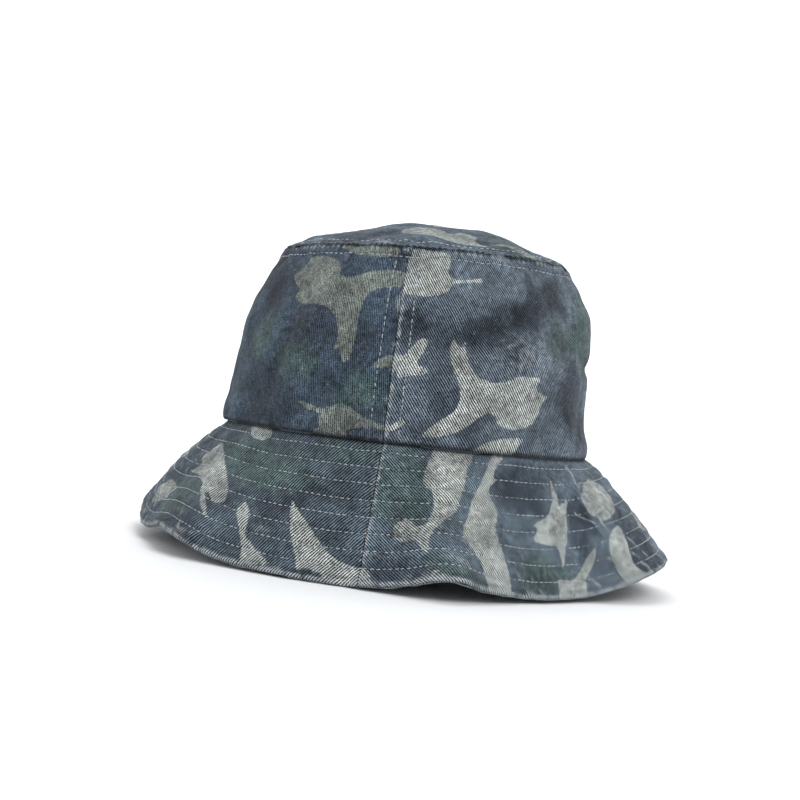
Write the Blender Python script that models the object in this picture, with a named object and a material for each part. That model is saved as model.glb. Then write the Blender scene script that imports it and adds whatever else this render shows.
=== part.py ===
"""Bucket hat of camouflage cotton twill, a soft crown over a brim with eight rows of stitching.

The hat stands on the lowest waves of its brim at z = 0. +X is the wearer's front and +Z is up. It is
modelled about the axis of its crown, with the seams that join the front panels to the rear ones at
90 and -90 degrees, and moved at the end so that its box is centred on the Z axis. Every layer is a
sheet with a face at one depth under the hat's outer surface and a back at a greater depth.
"""
import bpy
import numpy as np

# Driving dimensions, metres and degrees.
CROWN_BASE = (0.096, 0.0865)       # half length and half width of the crown above its base seam
CROWN_TOP = (0.0745, 0.0675)       # the same at the top seam
CROWN_HEIGHT = 0.0935              # base seam to top seam, measured upright at the sides
CROWN_LEAN = 0.0025                # how much higher the top seam is in front, and lower behind
WALL_FULLNESS = 2.6                # power of the height by which the wall turns inwards
DOME_RISE = 0.0195                 # centre of the top panel above its seam
DOME_SHIFT = 0.004                 # how far forward of the centre the dome is highest
BRIM_WIDTH = 0.0705                # along the slope
BRIM_DROP = 0.0005                 # brim's inner edge under the crown's lower edge
BRIM_INSET = 0.0012                # brim's inner edge inside the crown's outer surface
STANDING_SLOPE = 66.5              # the brim is flattened by the table where it hangs steeper

TWILL = 0.0007
INTERLINING = 0.0005
TAPE = 0.0005
SWEATBAND = 0.0008
RIBBON = 0.0003
GAP = 0.0003                       # left between layers that touch on the real hat

SWEATBAND_HEIGHT = 0.030
SEAM_TAPE_WIDTH = 0.012
STITCH_ROWS = 8
FIRST_ROW = 0.0050                 # along the slope, from the brim's inner edge
ROW_PITCH = 0.0082
THREAD_RADIUS = 0.00025
TOPSTITCH_INSET = 0.0045           # from a seam to the row of stitching beside it
SIDE_TOPSTITCH_INSET = 0.0060
SIZE_LABEL = (0.030, 0.012)        # width, height
CARE_LABEL = (0.020, 0.026)
CARE_LABEL_CLEARANCE = 0.0012      # from the sweatband to the hanging label
BASE_THREAD_HEIGHT = 0.0015        # of the row that holds the sweatband, above the base seam
SIDE_ROW_ENDS = 0.0020             # how far a side seam's rows stay from the rows across them
PROBE = 0.0001                     # small step over which a surface's directions are measured

# The brim's slope below the horizontal: its mean, how much less at the front than at the back, and
# how much less at both ends than at the sides; then its waves, as place, width and extra slope.
SLOPE_MEAN, SLOPE_FRONT, SLOPE_ENDS = 56.0, -6.5, -5.5
WAVES = ((-40, 17, 17), (-74, 8, -8), (-98, 8, 6), (-137, 13, -8),
         (40, 17, 17), (76, 9, -6), (100, 10, 6), (160, 22, -17))

# Soft dents and bulges of the crown's wall: angle, height, their reach in degrees and in metres, and
# how far the wall stands in or out there.
DENTS = ((5, 0.020, 26, 0.024, -0.0045), (5, 0.072, 22, 0.014, 0.0040))

STATIONS = 60                      # round the hat; every layer uses the same ones
HALF_SEAM = 0.10                   # degrees that a panel's end stays back from the side seam


def slope_at(angle):
    """Slope of the brim below the horizontal, in radians, at an angle in degrees."""
    turn = np.radians(angle)
    slope = SLOPE_MEAN + SLOPE_FRONT * np.cos(turn) + SLOPE_ENDS * np.cos(2 * turn)
    for place, width, extra in WAVES:
        away = (angle - place + 180.0) % 360.0 - 180.0
        slope = slope + extra * np.exp(-((away / width) ** 2))
    return np.radians(slope)


SEAM_Z = BRIM_DROP + BRIM_WIDTH * np.sin(np.radians(STANDING_SLOPE))


def crown_height(angle):
    return CROWN_HEIGHT + CROWN_LEAN * np.cos(np.radians(angle))


def dent_at(angle, height):
    """How far the wall stands out at a place: the sum of its dents and bulges, each a soft mound."""
    out = 0.0
    for place, level, reach, rise, amount in DENTS:
        away = (angle - place + 180.0) % 360.0 - 180.0
        out = out + amount * np.exp(-((away / reach) ** 2) - ((height - level) / rise) ** 2)
    return out


def wall_point(angle, height, depth):
    """A point of the crown's wall: height above the base seam, depth inside its outer surface."""
    turn = np.radians(angle)
    share = np.clip(height / crown_height(angle), 0.0, 1.0)
    half = [base + (top - base) * share ** WALL_FULLNESS for base, top in zip(CROWN_BASE, CROWN_TOP)]
    across, along = np.cos(turn), np.sin(turn)
    depth = depth - dent_at(angle, height)
    return np.stack(np.broadcast_arrays(
        (half[0] - depth) * across, (half[1] - depth) * along, SEAM_Z + height), axis=-1)


def brim_point(angle, along, depth):
    """A point of the brim: distance along the slope, depth under its upper surface."""
    turn, slope = np.radians(angle), slope_at(angle)
    out = along * np.cos(slope) - depth * np.sin(slope) - BRIM_INSET
    height = SEAM_Z - BRIM_DROP - along * np.sin(slope) - depth * np.cos(slope)
    return np.stack(np.broadcast_arrays(
        (CROWN_BASE[0] + out) * np.cos(turn), (CROWN_BASE[1] + out) * np.sin(turn),
        np.maximum(height, 0.0)), axis=-1)


def dome_point(angle, share, depth):
    """A point of the top panel: share of the way from its middle to the seam, depth under it."""
    turn = np.radians(angle)
    middle = DOME_SHIFT * (1 - share)
    height = SEAM_Z + crown_height(angle) * share + CROWN_HEIGHT * (1 - share)
    height = height + GAP + TWILL + DOME_RISE * (1 - share ** 2) - depth
    return np.stack(np.broadcast_arrays(
        middle + CROWN_TOP[0] * share * np.cos(turn), CROWN_TOP[1] * share * np.sin(turn),
        height), axis=-1)


def strip_faces(first, second, around, from_second=False):
    """Triangles between two rows of vertex numbers, which close on themselves if around is set.

    Each diagonal leaves the first row, or the second: the face and the back of a sheet take one
    each, so that twisted sheets which lie on each other bend along the same lines.
    """
    count = len(first) if around else len(first) - 1
    a, b = first[:count], second[:count]
    a_next, b_next = np.roll(first, -1)[:count], np.roll(second, -1)[:count]
    corners = (a, a_next, b, a_next, b_next, b) if from_second else (a, a_next, b_next, a, b_next, b)
    return np.stack(corners, axis=1).reshape(-1, 3).tolist()


def material(name, colour, roughness):
    made = bpy.data.materials.new(name)
    made.use_nodes = True
    shader = made.node_tree.nodes["Principled BSDF"]
    shader.inputs["Base Color"].default_value = (*colour, 1.0)
    shader.inputs["Roughness"].default_value = roughness
    shader.inputs["Metallic"].default_value = 0.0
    return made


def add_object(name, vertices, faces, finish, pivot=(0.0, 0.0, 0.0)):
    """A named object whose origin is at the pivot, shaded smooth but for its thin edges."""
    mesh = bpy.data.meshes.new(name)
    mesh.from_pydata((np.asarray(vertices) - np.asarray(pivot)).tolist(), [], faces)
    mesh.materials.append(finish)
    mesh.update()
    mesh.shade_smooth()
    mesh.set_sharp_from_angle(angle=np.radians(40))
    made = bpy.data.objects.new(name, mesh)
    made.location = pivot
    bpy.context.scene.collection.objects.link(made)
    return made


def sheet_faces(rows, columns, around, upper_edge=True):
    """Faces of a closed sheet: its face, then its back, each rows x columns vertices.

    The rows run anticlockwise seen from above and the columns run down, so that the face looks out.
    """
    face = np.arange(rows * columns).reshape(rows, columns)
    back = face + rows * columns
    faces = []
    for column in range(columns - 1):
        faces += strip_faces(face[:, column + 1], face[:, column], around)
        faces += strip_faces(back[:, column], back[:, column + 1], around, True)
    faces += strip_faces(back[:, -1], face[:, -1], around)
    if upper_edge:
        faces += strip_faces(face[:, 0], back[:, 0], around)
    if not around:
        faces += strip_faces(back[0], face[0], False)
        faces += strip_faces(face[-1], back[-1], False)
    return faces


def sheet(name, surface, angles, steps, depths, finish, around=False):
    """A closed sheet between two depths of a surface function of angle, step and depth."""
    grid = np.meshgrid(angles, steps, indexing="ij")
    layers = [surface(*grid, depth).reshape(-1, 3) for depth in depths]
    return add_object(name, np.concatenate(layers),
                      sheet_faces(len(angles), len(steps), around), finish)


def ring_angles():
    return np.arange(STATIONS) * 360.0 / STATIONS


def half_angles(middle):
    """Angles of the panel whose middle is given: it ends just short of both side seams."""
    angles = middle + np.linspace(-90.0, 90.0, STATIONS // 2 + 1)
    angles[0] += HALF_SEAM
    angles[-1] -= HALF_SEAM
    return angles


def patch_angles(middle, width, half_length):
    """Three angles across a patch of the given width on a wall that far from the middle."""
    reach = np.degrees(0.5 * width / half_length)
    return middle + np.array([-reach, 0.0, reach])


def thread(name, line, finish, around=True):
    """A square thread along a line of points, each with its two directions across the line."""
    centre, across, over = line
    corners = [centre + THREAD_RADIUS * side for side in (across, over, -across, -over)]
    points = np.stack(corners, axis=1)
    count = len(centre)
    number = np.arange(count * 4).reshape(count, 4)
    faces = []
    for corner in range(4):
        faces += strip_faces(number[:, corner], number[:, (corner + 1) % 4], around)
    if not around:
        faces += [number[0].tolist(), number[-1][::-1].tolist()]
    return add_object(name, points.reshape(-1, 3), faces, finish)


def unit(vectors):
    return vectors / np.linalg.norm(vectors, axis=1, keepdims=True)


def ring_line(surface, step, depth):
    """The line of a ring of thread on a surface, with directions down the surface and out of it."""
    angles = ring_angles()
    centre = surface(angles, step, depth)
    down = surface(angles, step + PROBE, depth) - surface(angles, step - PROBE, depth)
    outward = surface(angles, step, depth - PROBE) - surface(angles, step, depth + PROBE)
    return centre, unit(down), unit(outward)


def wall_down(angle, distance, depth):
    """The wall measured downwards from the top seam."""
    return wall_point(angle, crown_height(angle) - distance, depth)


def wall_at_base(angle, distance, depth):
    """The wall measured downwards from the row of thread that holds the sweatband."""
    return wall_point(angle, BASE_THREAD_HEIGHT - distance, depth)


def dome_out(angle, distance, depth):
    """The top panel measured outwards from the row that lies one inset inside its seam."""
    return dome_point(angle, 1.0 + (distance - TOPSTITCH_INSET) / CROWN_TOP[1], depth)


def row_place(row):
    """Distance of a row of the brim's stitching along the slope, from the brim's inner edge."""
    return FIRST_ROW + row * ROW_PITCH


def crown_panels(finish):
    steps = np.linspace(1.0, 0.0, 7)
    for name, middle in (("front", 0.0), ("rear", 180.0)):
        sheet("crown_side_panel_" + name,
              lambda angle, share, depth: wall_point(angle, share * crown_height(angle), depth),
              half_angles(middle), steps, (0.0, TWILL), finish)


def top_panel(finish):
    """The dome, whose middle is one vertex on each face."""
    shares = np.linspace(0.2, 1.0, 5)
    angles = ring_angles()
    grid = np.meshgrid(angles, shares, indexing="ij")
    layers = [dome_point(*grid, depth).reshape(-1, 3) for depth in (0.0, TWILL)]
    middle = [dome_point(0.0, 0.0, depth).reshape(1, 3) for depth in (0.0, TWILL)]
    faces = sheet_faces(len(angles), len(shares), True, upper_edge=False)
    count = len(angles) * len(shares)
    starts = np.arange(0, count, len(shares))
    for start, end in zip(starts.tolist(), np.roll(starts, -1).tolist()):
        faces.append([start, end, 2 * count])
        faces.append([end + count, start + count, 2 * count + 1])
    add_object("crown_top_panel", np.concatenate(layers + middle), faces, finish)


def brim_layers(cloth, lining):
    """Upper cloth, interlining and under cloth, each in a front and a rear half."""
    steps = np.array([0.0] + [row_place(row) for row in range(STITCH_ROWS)] + [BRIM_WIDTH])
    depth = 0.0
    for layer, thickness, finish in (
            ("upper", TWILL, cloth), ("interlining", INTERLINING, lining), ("under", TWILL, cloth)):
        for name, middle in (("front", 0.0), ("rear", 180.0)):
            sheet(f"brim_{layer}_{name}", brim_point, half_angles(middle), steps,
                  (depth, depth + thickness), finish)
        depth += thickness + GAP


def bands(cotton, tape):
    """Sweatband, and the tapes over the allowances of the top seam and the side seams."""
    inside = TWILL + GAP
    sheet("sweatband", wall_point, ring_angles(), np.linspace(SWEATBAND_HEIGHT, 0.0, 3),
          (inside, inside + SWEATBAND), cotton, around=True)
    sheet("top_seam_tape", wall_down, ring_angles(), (GAP, SEAM_TAPE_WIDTH),
          (inside, inside + TAPE), tape, around=True)
    for name, middle in (("left", 90.0), ("right", -90.0)):
        ends = SEAM_TAPE_WIDTH + GAP, float(crown_height(middle)) - SWEATBAND_HEIGHT - GAP
        sheet("side_seam_tape_" + name, wall_down,
              patch_angles(middle, SEAM_TAPE_WIDTH, CROWN_BASE[1]), np.linspace(*ends, 6),
              (inside + GAP, inside + GAP + TAPE), tape)


def labels(ribbon):
    """Size label flat on the sweatband behind, and care label hanging free at the right side."""
    inside = TWILL + GAP + SWEATBAND + GAP
    middle = 0.5 * (SWEATBAND_HEIGHT + SIZE_LABEL[1])
    sheet("size_label", wall_point, patch_angles(180.0, SIZE_LABEL[0], CROWN_BASE[0]),
          (middle, middle - SIZE_LABEL[1]), (inside + GAP, inside + GAP + RIBBON), ribbon)
    # Its sewn edge is its pivot, level with the sweatband's upper edge.
    width, height = CARE_LABEL
    edge_y = float(wall_point(-90.0, SWEATBAND_HEIGHT, inside + CARE_LABEL_CLEARANCE)[1])
    top_z = SEAM_Z + SWEATBAND_HEIGHT
    x, y = 0.5 * width, (edge_y, edge_y + RIBBON)
    vertices = [(side * x, back, z) for z in (top_z, top_z - height) for back in y
                for side in (-1, 1)]
    faces = [[0, 2, 3, 1], [4, 5, 7, 6], [0, 1, 5, 4], [2, 6, 7, 3], [0, 4, 6, 2], [1, 3, 7, 5]]
    faces = [face[::-1] for face in faces]
    add_object("care_label", vertices, faces, ribbon, pivot=(0.0, 0.5 * (y[0] + y[1]), top_z))


def stitching(cotton):
    """Rows of thread, lying just clear of the cloth that they are sewn through."""
    over = -(GAP + THREAD_RADIUS)
    for row in range(STITCH_ROWS):
        thread(f"brim_stitch_row_{row + 1}",
               ring_line(brim_point, row_place(row), over), cotton)
    thread("top_seam_stitch_lower", ring_line(wall_down, TOPSTITCH_INSET, over), cotton)
    thread("top_seam_stitch_upper", ring_line(dome_out, 0.0, over), cotton)
    inside = TWILL + GAP + SWEATBAND + GAP + THREAD_RADIUS
    thread("base_seam_thread", ring_line(wall_at_base, 0.0, inside), cotton)
    for side, middle in (("left", 90.0), ("right", -90.0)):
        for end, sign in (("front", 1.0), ("rear", -1.0)):
            turn = np.degrees(SIDE_TOPSTITCH_INSET / CROWN_BASE[1])
            turn = turn * sign * (-1.0 if side == "left" else 1.0)
            side_thread(f"side_seam_stitch_{side}_{end}", middle + turn, over, cotton)


def side_thread(name, angle, depth, finish):
    """A row of thread down the wall beside a side seam."""
    high = float(crown_height(angle)) - TOPSTITCH_INSET - SIDE_ROW_ENDS
    heights = np.linspace(high, SIDE_ROW_ENDS, 7)
    angles = np.full_like(heights, angle)
    turn = np.degrees(PROBE / CROWN_BASE[1])
    centre = wall_point(angles, heights, depth)
    across = wall_point(angles - turn, heights, depth) - wall_point(angles + turn, heights, depth)
    outward = wall_point(angles, heights, depth - PROBE) - centre
    thread(name, (centre, unit(across), unit(outward)), finish, around=False)


def centre_over_box():
    """Moves the whole hat so that its box is centred on the Z axis; it already stands on z = 0."""
    parts = list(bpy.data.objects)
    points = [np.array([vertex.co for vertex in part.data.vertices]) + np.array(part.location)
              for part in parts]
    points = np.concatenate(points)
    middle = 0.5 * (points.min(axis=0) + points.max(axis=0))
    for part in parts:
        part.location = (part.location[0] - middle[0], part.location[1] - middle[1],
                         part.location[2])


def build():
    for old in list(bpy.data.objects):
        bpy.data.objects.remove(old, do_unlink=True)
    cloth = material("camouflage_twill", (0.10, 0.12, 0.13), 0.9)
    lining = material("interlining", (0.60, 0.59, 0.55), 0.95)
    cotton = material("sweatband_cotton", (0.05, 0.06, 0.07), 0.9)
    tape = material("seam_tape", (0.04, 0.045, 0.05), 0.85)
    ribbon = material("label_ribbon", (0.70, 0.70, 0.68), 0.6)
    thread_finish = material("thread", (0.09, 0.10, 0.11), 0.8)
    crown_panels(cloth)
    top_panel(cloth)
    brim_layers(cloth, lining)
    bands(cotton, tape)
    labels(ribbon)
    stitching(thread_finish)
    centre_over_box()


build()
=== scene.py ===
# %% [markdown]
# # A washed camouflage bucket hat
# The hat is seven panels of cotton twill: an oval top, two side panels, and a brim of two layers
# that are each cut in two halves. A sweatband, tapes and labels sit inside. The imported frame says
# where every piece is. This script gives each one its real surface: rolled seams, puckers, rows
# of stitching, a printed camouflage and the pale wear of washing.

# %% Load the frame
import bpy
import numpy as np
from mathutils import Matrix, Vector


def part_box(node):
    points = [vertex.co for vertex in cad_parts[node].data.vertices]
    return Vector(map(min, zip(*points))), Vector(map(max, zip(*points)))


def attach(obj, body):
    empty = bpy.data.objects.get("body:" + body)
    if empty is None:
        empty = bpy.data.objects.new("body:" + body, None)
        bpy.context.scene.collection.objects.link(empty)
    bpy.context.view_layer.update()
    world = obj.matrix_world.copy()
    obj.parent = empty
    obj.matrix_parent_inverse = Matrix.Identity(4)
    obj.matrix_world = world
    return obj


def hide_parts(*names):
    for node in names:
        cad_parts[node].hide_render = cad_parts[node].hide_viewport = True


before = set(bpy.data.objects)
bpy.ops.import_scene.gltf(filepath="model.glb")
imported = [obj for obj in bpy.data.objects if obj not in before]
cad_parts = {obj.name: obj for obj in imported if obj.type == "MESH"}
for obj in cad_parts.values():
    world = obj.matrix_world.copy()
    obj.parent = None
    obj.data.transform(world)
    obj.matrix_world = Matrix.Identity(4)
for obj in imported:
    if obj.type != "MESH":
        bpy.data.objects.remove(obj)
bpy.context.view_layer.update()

# %% [markdown]
# ## Where the hat's axis is
# The box of the whole hat is centred on the origin, but the crown isn't quite, because the brim
# reaches further in front. The crown's axis is the middle of the top panel's box, and the base
# seam is where the side panels begin. Everything below is measured from these, in millimetres.

# %% The crown's axis and its base seam
MM = 0.001
top_low, top_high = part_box("crown_top_panel")
side_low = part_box("crown_side_panel_front")[0]
AXIS = np.array([top_low[0] + top_high[0], top_low[1] + top_high[1]]) / 2 / MM
SEAM_Z = side_low[2] / MM
print("axis, mm:", AXIS.round(2), "base seam height, mm:", round(SEAM_Z, 2))

# %% [markdown]
# ## The cut of the hat
# These are the same driving sizes as the frame has. A bucket hat is two surfaces of the angle
# round the head: the crown's wall, which leans in towards the top, and the brim, which falls at a
# slope that changes round the hat. Where the slope is steeper the edge hangs lower, which is what
# makes the brim wave.

# %% Sizes of the cut
CROWN_BASE = (96.0, 86.5)          # half length and half width at the base seam
CROWN_TOP = (74.5, 67.5)           # the same at the top seam
CROWN_HEIGHT = 93.5
CROWN_LEAN = 2.5                   # the top seam is this much higher in front
WALL_FULLNESS = 2.6
DOME_RISE = 19.5
DOME_SHIFT = 4.0
BRIM_WIDTH = 70.5
BRIM_DROP = 0.5
BRIM_INSET = 1.2
TWILL = 0.7                        # thickness of the cloth
SWEATBAND_DEPTH = 1.8              # from the crown's outer surface to the sweatband's inner one
SWEATBAND_HEIGHT = 30.0
UNDER_DEPTH = 2.5                  # from the brim's upper surface to its lower one
SLOPE_MEAN, SLOPE_FRONT, SLOPE_ENDS = 56.0, -6.5, -5.5
STANDING_SLOPE = 64.4
# Waves of the brim: place and width in degrees, and degrees of extra slope.
WAVES = ((-40, 17, 17), (-74, 8, -8), (-98, 8, 6), (-137, 13, -8),
         (40, 17, 17), (76, 9, -6), (100, 10, 6), (160, 22, -17))
# Dents of the wall: angle, height, reach in degrees and mm, and how far it stands out.
DENTS = ((5, 20, 26, 24, -4.5), (5, 72, 22, 14, 4.0))
STITCH_ROWS, FIRST_ROW, ROW_PITCH = 8, 5.0, 8.2
TOP_ROW, SIDE_ROW = 4.5, 6.0       # from a seam to the topstitching beside it
ROUND_CROWN, ROUND_BRIM = 90.0, 110.0   # radii that turn an angle into mm along the cloth


def angle_between(angle, place):
    """The turn from a place to an angle, in degrees between -180 and 180."""
    return (angle - place + 180.0) % 360.0 - 180.0


def bell(distance, width):
    """A soft mound: one at nothing, a third at the width."""
    return np.exp(-((distance / width) ** 2))


def ramp(value, start, end):
    """Nought before start and one after end, with a smooth S between."""
    share = np.clip((value - start) / (end - start), 0.0, 1.0)
    return share * share * (3.0 - 2.0 * share)


def slope_at(angle):
    """The brim's slope below the horizontal: a mean, two slow waves and the brim's own waves."""
    turn = np.radians(angle)
    slope = SLOPE_MEAN + SLOPE_FRONT * np.cos(turn) + SLOPE_ENDS * np.cos(2 * turn)
    for place, width, extra in WAVES:
        slope = slope + extra * bell(angle_between(angle, place), width)
    # The steepest places stand on the table, so a soft limit keeps the lower cloth above it.
    slope = STANDING_SLOPE - np.log1p(np.exp((STANDING_SLOPE - slope) / 1.2)) * 1.2
    return np.radians(slope)


def crown_height(angle):
    return CROWN_HEIGHT + CROWN_LEAN * np.cos(np.radians(angle))


def placed(x, y, z):
    """Points from three arrays, which are stretched to one shape."""
    return np.stack(np.broadcast_arrays(AXIS[0] + x, AXIS[1] + y, z), axis=-1)


def plain_wall(angle, height):
    """The wall: an ellipse whose half axes shrink with a power of the height, plus the dents."""
    turn = np.radians(angle)
    share = np.clip(height / crown_height(angle), 0.0, 1.0) ** WALL_FULLNESS
    out = sum(stand * bell(angle_between(angle, place), reach) * bell(height - level, rise)
              for place, level, reach, rise, stand in DENTS)
    half = [base + (top - base) * share + out for base, top in zip(CROWN_BASE, CROWN_TOP)]
    return placed(half[0] * np.cos(turn), half[1] * np.sin(turn), SEAM_Z + height)


# Where the brim has turned up or drawn in: place and width in degrees, and the share it has lost.
DRAWN_IN = ((-2, 38, 0.055), (-146, 14, 0.075))


def plain_brim(angle, along):
    """The brim: straight out from the base seam at the slope of that angle, a little drawn in."""
    turn, slope = np.radians(angle), slope_at(angle)
    along = along * (1 - sum(loss * bell(angle_between(angle, place), width)
                             for place, width, loss in DRAWN_IN))
    out = along * np.cos(slope) - BRIM_INSET
    return placed((CROWN_BASE[0] + out) * np.cos(turn), (CROWN_BASE[1] + out) * np.sin(turn),
                  SEAM_Z - BRIM_DROP - along * np.sin(slope))


def plain_dome(angle, share):
    """The top: its seam shrunk towards the middle by the share, and raised by one less its square."""
    turn = np.radians(angle)
    height = crown_height(angle) * share + CROWN_HEIGHT * (1 - share)
    return placed(DOME_SHIFT * (1 - share) + CROWN_TOP[0] * share * np.cos(turn),
                  CROWN_TOP[1] * share * np.sin(turn),
                  SEAM_Z + height + 0.35 + DOME_RISE * (1 - share ** 2))


# %% [markdown]
# ## Relief
# Washed cotton is never smooth. Three things shape it: slow folds from wear, puckers where a seam
# or a row of stitching is shorter than the cloth beside it, and grooves where thread pulls the
# cloth down. All three are heights along the surface's normal. The folds come from a sum of plane
# waves in space, so they run on across a seam from one panel to the next.

# %% Helpers for relief
def unit(vectors):
    return vectors / np.maximum(np.linalg.norm(vectors, axis=-1, keepdims=True), 1e-9)


def wander(points, scale, seed, count=26):
    """Smooth wandering values of about -1 to 1: waves of random direction, length near the scale."""
    rng = np.random.default_rng(seed)
    directions = unit(rng.normal(size=(count, 3)))
    lengths = scale * rng.uniform(0.75, 1.5, count)
    phases = rng.uniform(0, 2 * np.pi, count)
    total = np.zeros(points.shape[:-1])
    for direction, length, phase in zip(directions, lengths, phases):
        total += np.sin(points @ (direction * 2 * np.pi / length) + phase)
    return total / np.sqrt(count)


def probe_normal(surface, angle, step, way=1.0, turn=0.25, reach=0.3):
    """Outward normal of a surface of angle and step: its step direction crossed with its turn."""
    around = surface(angle + turn, step) - surface(angle - turn, step)
    down = surface(angle, step + reach) - surface(angle, step - reach)
    return unit(np.cross(down, around)) * way


def from_line(angle, step, line, radius):
    """Distance from a crease, and the share of the way along it. A crease is two places."""
    a0, s0, a1, s1 = line
    x, y = np.radians(angle_between(angle, a0)) * radius, step - s0
    dx, dy = np.radians(a1 - a0) * radius, s1 - s0
    share = np.clip((x * dx + y * dy) / (dx * dx + dy * dy), 0.0, 1.0)
    return np.hypot(x - share * dx, y - share * dy), share


def creased(angle, step, creases, radius):
    """Sum of creases: each a bell across its line that dies away towards both ends."""
    total = 0.0
    for a0, s0, a1, s1, width, depth in creases:
        away, share = from_line(angle, step, (a0, s0, a1, s1), radius)
        total = total + depth * bell(away, width) * np.sqrt(np.sin(np.pi * np.clip(share, 0.08, 0.92)))
    return total


def side_seam_distance(angle, radius):
    """Distance along the cloth from the nearer of the two side seams, signed."""
    return np.radians((angle + 180.0) % 180.0 - 90.0) * radius


# %% [markdown]
# ## The crown's relief
# The seam allowances are pressed to one side and stitched down, so each seam has a raised band as
# wide as its topstitching is far. The cloth above the base seam bags outwards over the brim.

# %% Folds and seams of the crown
CROWN_CREASES = (
    (-76, 49, -28, 82, 7.5, -3.0), (-70, 66, -56, 78, 8.0, 1.0), (-60, 45, -32, 47, 10.0, 2.4),
    (-24, 53, 12, 43, 4.0, -2.3), (-18, 84, -25, 38, 1.7, 0.8), (-12, 82, -14, 60, 4.0, 1.0),
    (-20, 30, -10, 12, 6.0, -1.2), (-38, 22, -35, 3, 2.2, 0.7), (-28, 24, -24, 3, 2.2, 0.7),
    (-17, 20, -15, 3, 2.0, 0.7), (-50, 16, -48, 2, 3.0, 0.5), (-84, 58, -62, 46, 4.0, -0.8),
    (-137, 82, -150, 44, 8.0, -1.8), (-126, 56, -131, 12, 5.0, -1.7), (-117, 62, -122, 26, 9.0, 1.4),
    (-150, 40, -163, 20, 7.0, -1.4), (-108, 52, -116, 34, 6.0, -1.0), (-106, 26, -97, 8, 5.0, -0.9),
    (-140, 34, -146, 10, 6.0, 1.0), (-62, 20, -46, 4, 6.0, 0.8), (-40, 26, -34, 4, 5.0, -0.8),
    (30, 70, 62, 52, 7.0, -1.6), (48, 30, 70, 16, 6.0, -1.0), (118, 72, 140, 50, 8.0, -1.5),
    (150, 30, 172, 44, 6.0, -1.3), (100, 40, 112, 14, 5.0, -0.9), (172, 78, 184, 60, 7.0, -1.2))


def crown_relief(angle, height):
    """Height of the wall's relief: allowance bands, grooves of thread, puckers, folds and wander."""
    points = plain_wall(angle, height)
    below_top = crown_height(angle) - height
    seam = side_seam_distance(angle, 84.0)
    band = ramp(np.abs(seam), SIDE_ROW + 1.2, SIDE_ROW - 0.2)
    relief = 0.45 * np.maximum(band, ramp(below_top, TOP_ROW + 1.0, TOP_ROW - 0.4))
    relief -= 0.38 * bell(np.abs(seam) - SIDE_ROW, 0.6) * ramp(below_top, 2.0, 5.0)
    relief -= 0.38 * bell(below_top - TOP_ROW, 0.6)
    relief += np.where(np.cos(np.radians(angle)) > 0, 0.35, -0.30) * bell(seam, 3.0)
    relief += 0.15 * np.cos(2 * np.pi * height / 3.1 + 1.3 * np.sin(height / 7)) * bell(seam, 4.0)
    relief += 0.16 * np.cos(np.radians(angle) * 150) * bell(below_top, 2.5)
    relief += 0.60 * wander(points * (0.35, 0.35, 1.0), 9.0, 3) * bell(seam, 10.0)
    relief += 0.60 * wander(points * (1.0, 1.0, 0.3), 9.0, 4) * bell(below_top - 2, 9.0)
    relief += 1.2 * bell(height - 5.5, 6.0)
    relief += 0.40 * wander(points * (1.0, 1.0, 0.3), 13.0, 5) * bell(height - 4, 9.0)
    away = ramp(below_top, 0.0, 14.0)
    relief += away * creased(angle, height, CROWN_CREASES, ROUND_CROWN)
    relief += away * (0.75 * wander(points * (1, 1, 0.6), 36.0, 6) + 0.30 * wander(points, 15.0, 7))
    return relief + 0.07 * wander(points, 5.0, 8)


def crown_face(angle, height):
    """Outer face of the crown's side: the plain wall moved along its normal by the relief."""
    normal = probe_normal(plain_wall, angle, height, -1.0)
    return plain_wall(angle, height) + normal * crown_relief(angle, height)[..., None]


def coarse_crown(angle, height, depth):
    """The wall as the inner layers feel it: only the folds, at a depth inside the outer face."""
    points = plain_wall(angle, height)
    away = ramp(crown_height(angle) - height, 0.0, 14.0)
    relief = away * (creased(angle, height, CROWN_CREASES, ROUND_CROWN)
                     + 0.75 * wander(points * (1, 1, 0.6), 36.0, 6))
    normal = probe_normal(plain_wall, angle, height, -1.0)
    return points + normal * (np.minimum(relief, 0.8) - depth)[..., None]


# %% [markdown]
# ## The brim's relief
# Eight rows of stitching quilt three layers together. When the hat is washed the cloth between two
# rows shrinks unevenly and ripples, which is called roping. The outer edge is thicker, because the
# allowances of both layers are turned inside it.

# %% Folds and quilting of the brim
BRIM_CREASES = ((-30, 2, -25, 68, 1.7, 0.9), (-33, 8, -29, 60, 5.0, -0.7), (-155, 3, -171, 68, 2.2, 1.1),
                (-150, 20, -160, 62, 6.0, -0.8), (-84, 40, -80, 66, 6.0, -0.6), (28, 4, 33, 66, 2.0, 0.8),
                (150, 6, 158, 64, 2.4, 0.9), (-62, 30, -58, 66, 6.0, 0.6))
ROW_PLACES = FIRST_ROW + ROW_PITCH * np.arange(STITCH_ROWS)


# Where the brim bows upwards between the crown and its edge: place, width in degrees, rise in mm.
BOWS = ((2, 24, 2.4), (182, 27, 4.6))


def bow(angle, along):
    """Rise of the brim's bows: half a sine wave from the base seam to the edge."""
    rise = sum(height * bell(angle_between(angle, place), width) for place, width, height in BOWS)
    return rise * np.sin(np.pi * np.clip(along / BRIM_WIDTH, 0, 1))


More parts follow.
